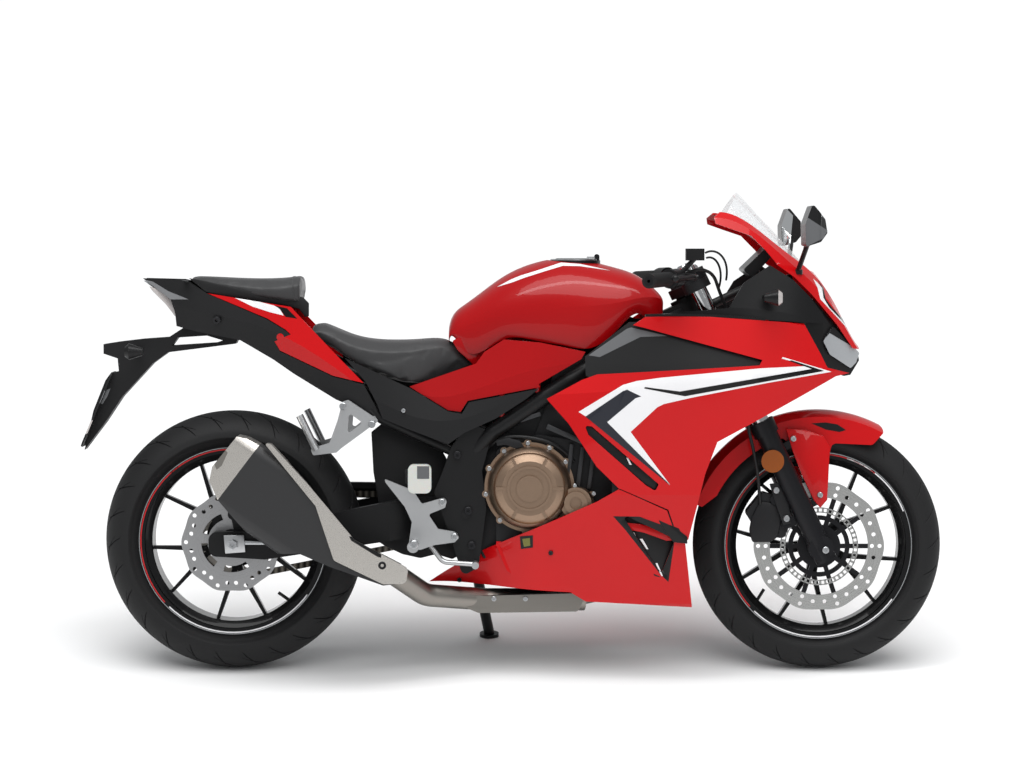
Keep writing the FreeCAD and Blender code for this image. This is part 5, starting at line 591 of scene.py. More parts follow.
# %% Stripes of the side cowl, tail and nose
arrow_outline = [
    (831.7, 371.7), (782.9, 357.0), (781.9, 358.5), (808.7, 366.0), (760.9, 368.3), (693.9, 374.6),
    (661.4, 377.7), (636.5, 381.1), (623.1, 384.9), (578.7, 411.9), (585.8, 416.3), (670.4, 485.2),
    (630.8, 432.0), (657.6, 407.1), (664.3, 403.9), (693.9, 397.2), (768.5, 382.7),
]
chevron_outline = [
    (623.1, 391.1), (627.3, 389.7), (641.3, 396.2), (635.6, 398.0), (607.1, 422.1), (649.9, 464.9),
    (670.4, 485.2), (585.8, 416.5),
]
arrow_line_outline = [
    (789.2, 360.8), (791.9, 360.3), (824.0, 370.8), (685.3, 396.0), (676.7, 394.5), (644.2, 388.2),
    (645.3, 387.1), (680.2, 391.5), (812.2, 368.9),
]
tail_white_outline = [
    (229.5, 295.1), (257.6, 301.2), (273.5, 305.3), (279.2, 308.2), (283.7, 315.3), (270.3, 312.1),
    (252.4, 306.3), (239.7, 300.0),
]
tail_black_outline = [(275.4, 305.7), (286.9, 308.2), (297.1, 318.4), (285.6, 316.5), (279.9, 308.9)]
nose_white_outline = [
    (813.1, 278.8), (817.6, 282.9), (822.0, 288.0), (823.3, 296.9), (829.0, 305.9), (840.5, 317.3),
    (849.4, 328.8), (848.2, 329.1), (835.4, 315.4), (820.1, 298.9), (817.6, 288.0),
]
nose_black_outline = [
    (817.9, 280.1), (823.3, 288.0), (825.5, 298.9), (831.6, 307.1), (843.1, 319.3), (860.9, 341.6),
    (859.0, 341.6), (841.8, 320.5), (829.0, 307.1), (823.3, 297.6), (822.0, 288.0),
]
duct_bezel_outline = [
    (588.7, 355.1), (599.8, 356.8), (640.4, 336.7), (667.1, 335.8), (631.2, 327.4), (627.0, 328.7),
]
stripes = [
    ("side_cowl_right", "cowl_arrow", arrow_outline, white_film, "red_paint", 0.4),
    ("side_cowl_right", "cowl_chevron", chevron_outline, navy_film, "red_paint", 0.8),
    ("side_cowl_right", "cowl_arrow_line", arrow_line_outline, black_enamel, "red_paint", 0.8),
    ("tail_cowls", "tail_white_block", tail_white_outline, white_film, "red_paint", 0.4),
    ("tail_cowls", "tail_black_block", tail_black_outline, black_enamel, "red_paint", 0.6),
    ("upper_cowl", "nose_white_line", nose_white_outline, white_film, "red_paint", 0.4),
    ("upper_cowl", "nose_black_line", nose_black_outline, black_enamel, "red_paint", 0.5),
    ("inner_cowls", "duct_bezel", duct_bezel_outline, satin_grey, "black_plastic", 0.6),
]
for stripe in stripes:
    film(*stripe)

# %% [markdown]
# Tyres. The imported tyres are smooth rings, so treaded ones stand for them. A ring of vertices is set to the
# tyre's cross-section and spun about the axle. Then two slanted grooves are shaped from cubes, copied round
# both shoulders, and all the copies are cut out in one boolean. Two fine steps run round each wall.


# %% A ring spun about an axle
def spun_ring(outline, axle, steps):
    """A closed outline of places across and radii, spun once about an axle."""
    bpy.ops.object.select_all(action="DESELECT")
    bpy.ops.mesh.primitive_circle_add(vertices=len(outline), radius=0.1)
    ring = bpy.context.object
    for vertex, (y, radius) in zip(ring.data.vertices, outline):
        vertex.co = (0, y, radius)
    pick_only(ring)
    bpy.ops.object.mode_set(mode="EDIT")
    bpy.ops.mesh.select_mode(type="VERT")
    bpy.ops.mesh.select_all(action="SELECT")
    bpy.ops.mesh.spin(steps=steps, angle=math.tau, center=(0, 0, 0), axis=(0, 1, 0))
    bpy.ops.mesh.select_all(action="SELECT")
    bpy.ops.mesh.remove_doubles(threshold=0.05 * MM)
    close_faces(recalculate=True)
    ring.data.transform(Matrix.Translation(axle))
    return ring


# %% Cross-section of a tyre
BEAD_RADIUS = 0.216
WALL = 0.012
FOOT_RISE = 13 * MM
LEDGE = 0.7 * MM
CROWN_STEPS = 9
# Shares of the way down the wall. The two fine steps start at the shares in wall_ledges.
wall_shares = (0.25, 0.27, 0.5, 0.75, 0.78, 1.0)
wall_ledges = (0.27, 0.78)


def tread_edge(radius, width):
    """The place across and the radius where the tread ends."""
    return 0.475 * width, BEAD_RADIUS + 0.55 * (radius - BEAD_RADIUS)


def crown_radius_at(y, radius, width):
    """The radius of the tread's arc at a place across."""
    edge_y, edge_radius = tread_edge(radius, width)
    drop = radius - edge_radius
    arc = (edge_y ** 2 + drop ** 2) / (2 * drop)
    return radius - arc + math.sqrt(arc ** 2 - y ** 2)


def tyre_outline(radius, width, rim_width):
    """Half of the section, from the crown to the bead with two fine steps on the wall, and its mirror."""
    height = radius - BEAD_RADIUS
    edge_y, _ = tread_edge(radius, width)
    places = [edge_y * step / CROWN_STEPS for step in range(CROWN_STEPS + 1)]
    half = [(y, crown_radius_at(y, radius, width)) for y in places]
    bulge_y, bulge_radius = 0.499 * width, BEAD_RADIUS + 0.36 * height
    foot_y, foot_radius = rim_width / 2 + 0.5 * MM, BEAD_RADIUS + FOOT_RISE
    half += [(0.492 * width, BEAD_RADIUS + 0.47 * height), (bulge_y, bulge_radius)]
    for share in wall_shares:
        ledge = LEDGE if share in wall_ledges else 0.0
        y = bulge_y + (foot_y - bulge_y) * share ** 1.3 - ledge
        half.append((y, bulge_radius + (foot_radius - bulge_radius) * share))
    inside = [(rim_width / 2, BEAD_RADIUS), (rim_width / 2 - WALL, BEAD_RADIUS),
              (edge_y - WALL, BEAD_RADIUS + 0.5 * height), (0.5 * edge_y, radius - WALL - 4 * MM)]
    outer = [(-y, r) for y, r in half[:0:-1]] + half
    return outer + inside + [(-y, r) for y, r in inside[::-1]]


# %% Grooves and treaded tyres
BAR_CUTS = (-0.3, -0.1, 0.1, 0.3)
ABOVE_TREAD = 6 * MM
TYRE_STEPS = 144
GROOVE_PITCHES = 26
# Each groove runs between two shares of the tread's half width, sweeps some degrees, and has a width and
# a depth.
groove_rows = [(0.12, 0.86, 13.0, 2.6 * MM, 5 * MM), (0.50, 1.04, 6.0, 2.2 * MM, 4 * MM)]


def groove_cutter(radius, width, first_share, last_share, sweep_degrees, groove_width, depth):
    """A bar laid on the tread between two places across, narrow at its ends and swept round the tyre."""
    edge_y, _ = tread_edge(radius, width)
    first, last = first_share * edge_y, last_share * edge_y
    bpy.ops.object.select_all(action="DESELECT")
    bpy.ops.mesh.primitive_cube_add(size=1)
    bar = bpy.context.object
    open_faces(bar)
    for cut in BAR_CUTS:
        bpy.ops.mesh.select_all(action="SELECT")
        bpy.ops.mesh.bisect(plane_co=(cut, 0, 0), plane_no=(1, 0, 0))
    close_faces()
    for vertex in bar.data.vertices:
        along, side, up = vertex.co.x + 0.5, vertex.co.y, vertex.co.z
        y = first + (last - first) * along
        reach = crown_radius_at(min(abs(y), edge_y), radius, width)
        reach += ABOVE_TREAD if up > 0 else -depth
        taper = 0.45 + 0.55 * math.sin(math.pi * along)
        turn = math.radians(sweep_degrees) * along ** 1.4 + 2 * side * groove_width * taper / radius
        vertex.co = (reach * math.sin(turn), y, reach * math.cos(turn))
    return bar


def treaded_tyre(node, axle, radius, width, rim_width, body):
    """A spun tyre with two rows of slanted grooves on each shoulder."""
    tyre = spun_ring(tyre_outline(radius, width, rim_width), axle, TYRE_STEPS)
    bars = []
    for row, groove in enumerate(groove_rows):
        bar = groove_cutter(radius, width, *groove)
        for step in range(GROOVE_PITCHES):
            for side in (1, -1):
                copy = own_copy(bar)
                turn = math.tau * (step + 0.5 * row + 0.25 * side) / GROOVE_PITCHES
                flip = Matrix.Scale(side, 4, ACROSS)
                copy.data.transform(Matrix.Translation(axle) @ Matrix.Rotation(turn, 4, "Y") @ flip)
                bars.append(copy)
        bpy.data.objects.remove(bar)
    cutter = join_as_one(bars)
    open_faces(cutter)
    close_faces(recalculate=True)
    add_modifier(tyre, "BOOLEAN", operation="DIFFERENCE", solver="EXACT", use_self=True, object=cutter)
    apply_modifiers(tyre)
    bpy.data.objects.remove(cutter)
    settle(tyre, "treaded_" + node, body, tyre_rubber)
    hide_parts(node)


treaded_tyre("front_tyre", FRONT_AXLE, radius=0.2998, width=0.120, rim_width=0.089, body="front_wheel")
treaded_tyre("rear_tyre", REAR_AXLE, radius=0.3118, width=0.160, rim_width=0.116, body="rear_wheel")

# %% [markdown]
# Rim tape. Thin lines run round each rim's edge: a bright one where the lip is polished, and short red and
# white arcs of reflective tape beside it. Each is a small face spun about the axle through part of a turn.

# %% Lines round the rims
TAPE_WIDTH = 0.8 * MM
TAPE_LIFT = 0.3 * MM
TAPE_RADII = (0.2195, 0.2225)
LIP_RADII = (0.2240, 0.2256)
red_arcs = [(132, 212), (222, 318)]
white_arcs = [(-36, 62), (72, 122)]
lip_arcs = [(first, first + 89.9) for first in (0, 90, 180, 270)]


def tape_arc(axle, low, high, y, first, last):
    """A flat band about an axle, between two radii and two angles that count from ahead upwards."""
    bpy.ops.object.select_all(action="DESELECT")
    bpy.ops.mesh.primitive_plane_add(size=1, location=(0, 0, 0))
    band = bpy.context.object
    for vertex in band.data.vertices:
        vertex.co = ((low + high) / 2 + vertex.co.x * (high - low), vertex.co.y * TAPE_WIDTH, 0)
    open_faces(band)
    steps = max(4, round(abs(last - first) / 4))
    bpy.ops.mesh.spin(steps=steps, angle=-math.radians(last - first), center=(0, 0, 0), axis=(0, 1, 0))
    close_faces(recalculate=True)
    band.data.transform(Matrix.Translation(axle + ACROSS * y) @ Matrix.Rotation(-math.radians(first), 4, "Y"))
    return band


def rim_lines(axle, rim_face_y, radii, arcs):
    """Arcs on both faces of a rim, joined as one piece."""
    depths = [side * (rim_face_y + TAPE_LIFT) for side in (-1, 1)]
    return join_as_one([tape_arc(axle, *radii, y, *arc) for y in depths for arc in arcs])


rim_faces = [("front", FRONT_AXLE, 0.0495), ("rear", REAR_AXLE, 0.063)]
for label, axle, rim_face_y in rim_faces:
    body = label + "_wheel"
    reds = rim_lines(axle, rim_face_y, TAPE_RADII, red_arcs)
    settle(reds, label + "_rim_red_tape", body, red_tape)
    whites = rim_lines(axle, rim_face_y, TAPE_RADII, white_arcs)
    settle(whites, label + "_rim_white_tape", body, white_film)
    lips = rim_lines(axle, rim_face_y, LIP_RADII, lip_arcs)
    settle(lips, label + "_rim_lip", body, zinc_plate)

# %% [markdown]
# Seats. Each seat is grained vinyl pulled over foam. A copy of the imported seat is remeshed, drawn in and
# smoothed, inflated a little as cloth, and made finer. Then the pillion seat's seam is sewn on as a thin
# welt: the seat is cut along a plane, and the edge of the cut becomes a cord of vinyl.

# %% Padded seats
SEAT_VOXEL = 5 * MM
SEAT_DRAW_IN = 3.0 * MM
SWELL_LIMIT = 3.5 * MM
SEAT_PRESSURE = 4.0
CLOTH_FRAMES = 20


def swell(seat):
    """Lets a seat swell as cloth under pressure, with no vertex moved past the limit."""
    cloth = add_modifier(seat, "CLOTH")
    cloth.settings.use_pressure = True
    cloth.settings.uniform_pressure_force = SEAT_PRESSURE
    cloth.settings.tension_stiffness = 40
    cloth.settings.bending_stiffness = 4
    cloth.settings.effector_weights.gravity = 0
    cloth.point_cache.frame_start = 1
    cloth.point_cache.frame_end = CLOTH_FRAMES
    for step in range(CLOTH_FRAMES):
        scene.frame_set(step + 1)
    swollen = seat.evaluated_get(bpy.context.evaluated_depsgraph_get()).data
    moved = [vertex.co.copy() for vertex in swollen.vertices]
    seat.modifiers.remove(cloth)
    scene.frame_set(1)
    for vertex, end in zip(seat.data.vertices, moved):
        start = vertex.co.copy()
        step = end - start
        vertex.co = start + step * min(1.0, SWELL_LIMIT / max(step.length, 1e-9))


def padded_seat(node):
    """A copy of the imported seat, drawn in, remeshed and then swollen as cloth."""
    seat = merged_copy(node)
    add_modifier(seat, "REMESH", mode="VOXEL", voxel_size=SEAT_VOXEL)
    add_modifier(seat, "DISPLACE", strength=-SEAT_DRAW_IN, mid_level=0.0)
    add_modifier(seat, "SMOOTH", iterations=6)
    apply_modifiers(seat)
    swell(seat)
    add_modifier(seat, "SUBSURF", levels=1, render_levels=1)
    apply_modifiers(seat)
    settle(seat, "padded_" + node, "chassis", seat_vinyl)
    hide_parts(node)
    return seat


padded_seat("rider_seat")
pillion_pad = padded_seat("pillion_seat")

# %% Welt on the pillion seat
WELT_THICKNESS = 3.0 * MM
WELT_LEAN = math.radians(8)
WELT_Y = -0.09
welt_pixel = (293.5, 290)
welt_place = seen(*welt_pixel, WELT_Y)
welt_normal = Vector((math.cos(WELT_LEAN), 0, math.sin(WELT_LEAN)))
welt = own_copy(pillion_pad)
welt.data.transform(UPRIGHT)
open_faces(welt)
bpy.ops.mesh.bisect(plane_co=welt_place, plane_no=welt_normal, clear_inner=True, clear_outer=True)
close_faces()
pick_only(welt)
bpy.ops.object.convert(target="CURVE")
welt.data.bevel_depth = WELT_THICKNESS / 2
welt.data.bevel_resolution = 1
bpy.ops.object.convert(target="MESH")
settle(welt, "pillion_cap_welt", "chassis", seat_vinyl)

# %% [markdown]
# Fillers and backings. Behind the panels a real bike has boxes, trays and liners in black plastic, and they
# close every gap that the light would come through. Each one is a block between two depths whose outline
# follows the picture, with its edges bevelled.


# %% Bevelled plates and blocks
def plate(name, outline, near, far, finish, slot, bevel_mm=1.5, side=None, body="chassis"):
    """A bevelled block between two depths, in the middle or on both sides."""
    block = sight_block(outline, near, far)
    open_faces(block)
    bpy.ops.mesh.bevel(offset=bevel_mm * MM, segments=2, affect="EDGES", clamp_overlap=True)
    close_faces(recalculate=True)
    settle(block, name, body, finish, side)


# %% Boxes and trays behind the panels
inner_box_outline = [
    (371, 432), (386, 420), (441, 449), (454, 472), (449, 522), (424, 515), (400, 506), (381, 520),
    (373, 472),
]
under_seat_outline = [
    (338, 338), (440, 351), (468, 361), (490, 352), (560, 350), (592, 346), (629, 316), (641, 321),
    (641, 345), (585, 385), (560, 397), (500, 413), (470, 410), (440, 398), (400, 385), (344, 362),
]
tank_skirt_outline = [
    (452, 341), (457, 350), (466, 358), (478, 370), (487, 362), (489, 350), (480, 338), (464, 334),
]
pillion_pan_outline = [
    (189, 278), (206, 292), (240, 300), (284, 305), (299, 309), (305, 317), (309, 316), (309, 303),
    (303, 297), (285, 294), (240, 289), (206, 281),
]
linkage_outline = [
    (356, 527), (430, 522), (458, 530), (468, 552), (452, 560), (436, 555), (420, 559), (402, 555),
    (385, 547), (368, 536),
]
engine_back_outline = [
    (483, 440), (497, 430), (522, 437), (528, 470), (520, 548), (500, 556), (484, 560), (474, 545),
    (479, 505),
]
boxes = [
    ("inner_box", inner_box_outline, 0.060, moulded_abs, "black_plastic", 3),
    ("under_seat_box", under_seat_outline, 0.035, moulded_abs, "black_plastic", 1.5),
    ("tank_skirt", tank_skirt_outline, 0.085, tank_shaded_enamel, "red_tank", 4),
    ("pillion_pan", pillion_pan_outline, 0.088, moulded_abs, "black_plastic", 2),
    ("linkage_cover", linkage_outline, 0.045, moulded_abs, "black_plastic", 3),
    ("engine_back_casting", engine_back_outline, 0.100, cast_black, "engine_black", 4),
]
for name, outline, half_width, finish, slot, bevel_mm in boxes:
    plate(name, outline, -half_width, half_width, finish, slot, bevel_mm)

# %% [markdown]
# The slot and the triangular vent of the cowls have black slats behind them, with white pieces at their
# ends painted as the light that comes past them, and a red bar crosses the vent. Each lies a few millimetres
# from the skin of its cowl, whose depth is measured with a sight line.

# %% Slats, fins and seam backings of the cowls
slot_pixel, seam_pixel, vent_pixel, nose_gap_pixel = (640, 485), (668, 500), (620, 545), (792, 312)
slot_y, seam_y = depth_at("side_cowl_right", slot_pixel), depth_at("side_cowl_right", seam_pixel)
vent_y, nose_gap_y = depth_at("lower_cowl_right", vent_pixel), depth_at("inner_cowls", nose_gap_pixel)
print("skins at the slot, the vent and the seam:", round(slot_y, 3), round(vent_y, 3), round(seam_y, 3))
slot_outline = [(580, 424), (592, 422), (640, 458), (672, 492), (668, 500), (655, 498), (600, 458)]
vent_outline = [(620, 514), (640, 514), (678, 532), (676, 548), (666, 580), (655, 577), (622, 526)]
nose_gap_outline = [(780, 313), (806, 315), (806, 327), (780, 325)]
seam_outline = [
    (612, 482), (640, 490), (664, 500), (672, 508), (681, 532), (688, 537.5), (688, 544.5), (674, 543),
    (664, 530), (656, 516), (612, 494),
]
slot_rear_outline = [(626.5, 458), (628.5, 458), (632, 465), (630, 465)]
slot_front_outline = [(660, 488), (662, 488), (665, 496), (663, 496)]
vent_rear_outline = [(631.5, 533), (634.5, 533), (638, 541), (636, 541)]
vent_middle_outline = [(640, 539.5), (643, 539.5), (649, 550), (647, 550)]
vent_front_outline = [(656, 564), (658, 564), (663.5, 577), (662, 577)]
vent_bar_outline = [
    (619, 522.6), (640, 524.4), (674.5, 533.5), (674.5, 541), (667, 541.5), (644, 533.2), (625.7, 529.6),
]
vent_shade_outline = [
    (613.6, 516.8), (640, 517.2), (673, 529.5), (675.0, 541), (669.0, 583), (661, 575), (625, 529.5),
]
# Each one starts and ends some millimetres inwards of its skin.
cowl_plates = [
    ("slot_slats", slot_outline, slot_y, 6, 14, smooth_abs, "black_plastic", 1.5),
    ("vent_fins", vent_outline, vent_y, 7, 15, smooth_abs, "black_plastic", 1.5),
    ("nose_gap_backing", nose_gap_outline, nose_gap_y, 12, 16, smooth_abs, "black_plastic", 1.5),
    ("seam_backing", seam_outline, seam_y, 12, 16, smooth_abs, "black_plastic", 1.5),
    # The white tips are painted light: white pieces that stand for light seen past the slats' ends.
    ("slot_painted_light_rear", slot_rear_outline, slot_y, 3, 6, white_film, "black_plastic", 0.3),
    ("slot_painted_light_front", slot_front_outline, slot_y, 3, 6, white_film, "black_plastic", 0.3),
    ("vent_painted_light_rear", vent_rear_outline, vent_y, 4, 7, white_film, "black_plastic", 0.3),
    ("vent_painted_light_middle", vent_middle_outline, vent_y, 4, 7, white_film, "black_plastic", 0.3),
    ("vent_painted_light_front", vent_front_outline, vent_y, 4, 7, white_film, "black_plastic", 0.3),
]
for name, outline, skin_y, near_mm, far_mm, finish, slot, bevel_mm in cowl_plates:
    plate(name, outline, skin_y + near_mm * MM, skin_y + far_mm * MM, finish, slot, bevel_mm, "right")
film("lower_cowl_right", "vent_shade", vent_shade_outline, smooth_abs, "black_plastic", 0.4)
plate("vent_bar", vent_bar_outline, vent_y - 1 * MM, vent_y + 6 * MM, red_enamel, "red_paint", 1, "right")

# %% [markdown]
# Lamps and mirrors. The tail lamp shows a grey lens above a paler one, the mirrors show their glass from
# behind, and a black mask closes the top of each headlamp. The paler lens is a block, and the others are
# films again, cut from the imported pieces.

# %% Lenses, glass and small marks
LENS_HALF_WIDTH = 0.055
tail_lens_low_outline = [
    (149, 286), (152.5, 291), (165.5, 304), (174.7, 316), (179, 318), (182, 300), (165, 291),
]
tail_lens_outline = [
    (141.5, 278.9), (153, 281.5), (168.3, 291), (188.7, 299.3), (172, 299.3), (161.9, 296.1), (150.4, 289.1),
]
lamp_mask_outline = [
    (822, 318), (836, 318), (864, 350), (860.3, 351.1), (829.7, 332.9), (822, 341.6), (816, 336),
]
tank_line_and_highlight_outline = [
    (497, 287), (511, 279.5), (520, 275.8), (540, 269.6), (561, 262.6), (580, 264), (610, 270.5),
    (580, 266.2), (563, 265.8), (545, 271.2), (525, 277.6), (511, 282.8),
]
left_glass_outline = [(775, 236), (783.4, 206), (792.5, 215.6), (789.2, 249)]
mirror_back_outline = [(803.5, 215.3), (827.1, 230.6), (822.7, 238.3), (804.8, 247.2)]
plate("tail_lens_low", tail_lens_low_outline, -LENS_HALF_WIDTH, LENS_HALF_WIDTH, pale_lens, "lamp_glass", 3)
film("tail_side_panels", "tail_lens", tail_lens_outline, grey_lens, "lamp_glass")
film("headlights", "lamp_mask", lamp_mask_outline, smooth_abs, "black_plastic")
# The white tank line is partly a printed line and partly a painted highlight along the tank's top.
film("fuel_tank", "tank_line_and_painted_highlight", tank_line_and_highlight_outline, white_film, "red_tank")
film("mirrors", "mirror_glass", left_glass_outline, mirror_glass, "lamp_glass", side="left",
     depths=LEFT_HALF)
film("mirrors", "mirror_back", mirror_back_outline, satin_grey, "gloss_black", depths=OUTER_RIGHT)

# %% [markdown]
# Bolts. One cap bolt is modelled: a cylinder whose top face is inset and raised into a chamfer, then inset
# again and pushed down as the socket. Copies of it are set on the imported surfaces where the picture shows
# a bolt, square to each surface, and each group is joined. A nut is the same head with six sides.


# %% A cap bolt and groups of it
CHAMFER = 0.14
SOCKET_DEPTH = 0.4


def cap_bolt(sides=16, socket=0.42):
    """The mesh of a bolt head of radius 1 that looks up and reaches a little below the plane z = 0."""
    bpy.ops.object.select_all(action="DESELECT")
    bpy.ops.mesh.primitive_cylinder_add(vertices=sides, radius=1, depth=1.1, location=(0, 0, 0.25))
    head = bpy.context.object
    bpy.ops.object.transform_apply(location=True, rotation=True, scale=True)
    open_faces(head, lambda face: face.normal.z > 0.9)
    bpy.ops.mesh.inset(thickness=CHAMFER)
    bpy.ops.transform.translate(value=(0, 0, 0.12))
    bpy.ops.mesh.inset(thickness=1 - CHAMFER - socket)
    bpy.ops.mesh.extrude_region_move(TRANSFORM_OT_translate={"value": (0, 0, -SOCKET_DEPTH)})
    close_faces()
    form = head.data.copy()
    bpy.data.objects.remove(head)
    return form


bolt_form = cap_bolt()
nut_form = cap_bolt(sides=6, socket=0.5)


def bolt_group(name, spots, radius_mm, finish, side=None, body="chassis", form=bolt_form):
    """Copies of one bolt on places with normals, joined as one piece."""
    copies = []
    for place, normal in spots:
        copy = bpy.data.objects.new(name, form.copy())
        scene.collection.objects.link(copy)
        turn = Vector((0, 0, 1)).rotation_difference(normal).to_matrix().to_4x4()
        copy.data.transform(Matrix.Translation(place) @ turn @ Matrix.Scale(radius_mm * MM, 4))
        copies.append(copy)
    settle(join_as_one(copies), name, body, finish, side)


def on_surface(node, pixels):
    """Where a node, or the whole bike without one, is met at some pixels."""
    return [touched(node, *pixel) for pixel in pixels]


def at_depth(pixels, y):
    """Places at one depth that show at some pixels, for bolts that look to the right."""
    return [(seen(*pixel, y), RIGHTWARD) for pixel in pixels]


# %% Bolts of the brackets, frame, cowls and tail
pillion_bracket_pixels = [(342.7, 406.2), (371.7, 424.4)]
foot_bracket_pixels = [(441.8, 502.6), (454.2, 537.3)]
pivot_pixels = [(457.3, 455.2), (468.1, 511.1), (471.5, 546)]
side_cover_pixels = [(403.3, 410.9)]
lower_cowl_pixels = [(551, 553.5), (459.2, 580.5)]
tail_pixels = [(217.4, 319.1)]
bolt_rows = [
    ("pillion_bracket_bolts", "footpeg_brackets", pillion_bracket_pixels, 8.5, zinc_plate, "bare_alloy"),
    ("foot_bracket_bolts", "footpeg_brackets", foot_bracket_pixels, 8.0, zinc_plate, "bare_alloy"),
    ("pivot_caps", None, pivot_pixels, 9.5, black_bolt, "frame_black"),
    ("side_cover_screws", None, side_cover_pixels, 5.0, zinc_plate, "black_plastic"),
    ("lower_cowl_screws", None, lower_cowl_pixels, 5.5, black_bolt, "red_paint"),
    ("tail_screws", None, tail_pixels, 10.0, black_bolt, "black_plastic"),
]
for name, node, pixels, radius_mm, finish, slot in bolt_rows:
    bolt_group(name, on_surface(node, pixels), radius_mm, finish, "right")

# %% [markdown]
# Details of the fork. The mudguard reaches back to the fork leg and is bolted to it, and the caliper is a
# rounded casting with a lug.

# %% Mudguard and caliper
GUARD_Y = -0.093
LUG_Y = -0.112
guard_outline = [
    (786.5, 429), (793.4, 452), (802.4, 475), (814.5, 500.5), (821.2, 508.6), (828, 500.5), (829.2, 480),
    (830.5, 447), (824, 436), (806, 430),
]
guard_slot_shade_outline = [(812, 423.5), (826, 422.5), (838, 424.5), (846.5, 430), (840, 432), (826, 429.5)]
caliper_outline = [
    (763.3, 501.5), (781, 504), (783, 518.4), (778.5, 538), (771, 543), (753, 543), (749.7, 531),
    (752, 518.4), (758, 506),
]
caliper_lug_outline = [(770, 484), (782, 483), (790, 506), (792, 524), (784, 526), (776, 503)]
caliper_pixel, front_axle_pixel = (765, 525), (826.7, 550.7)
guard_bolt_pixels = [(793.7, 438.8), (820.8, 495.2)]
caliper_bolt_pixels = [(777, 490.5), (787.5, 519)]
caliper_y = depth_at("front_caliper", caliper_pixel)
fork_plates = [
    ("mudguard_side", guard_outline, GUARD_Y, GUARD_Y + 0.014, red_enamel, "red_paint", 1.5, "right"),
    ("caliper_casting", caliper_outline, caliper_y - 0.006, caliper_y + 0.02, cast_black, "black_metal", 5),
    ("caliper_lug", caliper_lug_outline, LUG_Y, LUG_Y + 0.012, cast_black, "black_metal", 2),
]
for row in fork_plates:
    plate(*row, body="steering")
# A black film on the mudguard's front is painted shade where the opening in it shows dark.
film("front_mudguard", "mudguard_slot_painted_shade", guard_slot_shade_outline, smooth_abs, "red_paint", body="steering")
fork_bolts = [
    ("mudguard_bolts", at_depth(guard_bolt_pixels, GUARD_Y), 7.0, "right"),
    ("caliper_bolts", at_depth(caliper_bolt_pixels, LUG_Y), 7.5, None),
    ("front_axle_cap", on_surface(None, [front_axle_pixel]), 8.0, None),
]
for name, spots, radius_mm, side in fork_bolts:
    bolt_group(name, spots, radius_mm, zinc_plate, side, "steering")

# %% [markdown]
# The front disc carries a slotted ring for the speed sensor. It is two thin bands with short bars between
# them, each one a small face spun about the axle.

# %% Speed sensor ring
RING_LOW = 0.081
RING_HIGH = 0.094
RING_Y = -0.0725
BAND_WIDTH = 0.003
RING_TEETH = 46
TOOTH_SHARE = 0.45
ring_parts = [
    tape_arc(FRONT_AXLE, RING_LOW, RING_LOW + BAND_WIDTH, RING_Y, 0, 359.9),
    tape_arc(FRONT_AXLE, RING_HIGH - BAND_WIDTH, RING_HIGH, RING_Y, 0, 359.9),
]
for tooth in range(RING_TEETH):
    first = 360 * tooth / RING_TEETH
    last = first + TOOTH_SHARE * 360 / RING_TEETH
    ring_parts.append(tape_arc(FRONT_AXLE, RING_LOW, RING_HIGH, RING_Y, first, last))
settle(join_as_one(ring_parts), "front_sensor_ring", "front_wheel", ground_steel)

# %% [markdown]
# The rear axle ends in a cast block that slides in the swingarm, with an adjuster ahead of it that sets the
# chain's slack and a large nut on top.

# %% Rear axle block, adjuster and nut
BLOCK_HEIGHT = 10 * MM
ADJUSTER_HEIGHT = 7 * MM
block_pixel = (232, 545)
axle_block_outline = [(222.5, 536), (243, 535.5), (244.5, 553), (224, 554.5)]
adjuster_outline = [(243, 541.5), (264, 542), (264, 545.5), (243, 545.5)]
block_y = depth_at("swingarm", block_pixel)
block_top_y = block_y - BLOCK_HEIGHT
plate("axle_block", axle_block_outline, block_top_y, block_y, cast_alloy, "bare_alloy", 2)
plate("axle_adjuster", adjuster_outline, block_y - ADJUSTER_HEIGHT, block_y, zinc_plate, "bare_alloy", 1)
nut_spots = at_depth([block_pixel], block_top_y)
bolt_group("rear_axle_nut", nut_spots, 13.0, zinc_plate, form=nut_form)

# %% [markdown]
# Engine. The clutch cover's rim is turned with a cone between its flange and its face, and its bolts stand
# round it. The small cover beside it steps in and out, each step an inset and an extrusion. Ribs, hoses and
# a cable bracket are on the castings behind, as on any parallel twin.

# %% Shoulder and bolts of the clutch cover
BOLT_CIRCLE = 0.105
cover_axle = Vector((0.506 * WHEELBASE, 0, 0.391 * HEIGHT))
flange_pixel, face_pixel = (571, 491), (560, 491)
flange_y, face_y = depth_at("engine_covers", flange_pixel), depth_at("engine_covers", face_pixel)
print("clutch flange and face:", round(flange_y, 3), round(face_y, 3))
shoulder_section = [
    (flange_y + 0.002, 0.0993), (flange_y - 0.008, 0.0990), (flange_y - 0.021, 0.0962),
    (flange_y - 0.032, 0.0912), (face_y + 0.0005, 0.0850), (flange_y - 0.020, 0.0845),
    (flange_y + 0.002, 0.0900),
]
shoulder = spun_ring(shoulder_section, cover_axle, 72)
settle(shoulder, "clutch_shoulder", "chassis", bronze_paint)
clutch_spots = []
for degrees in (35, 63, 92, 125, 155, 189, 228):
    turn = math.radians(degrees)
    spot = cover_axle + Vector((math.cos(turn), 0, math.sin(turn))) * BOLT_CIRCLE + ACROSS * flange_y
    clutch_spots.append((spot, RIGHTWARD))
bolt_group("clutch_bolts", clutch_spots, 5.5, zinc_plate)

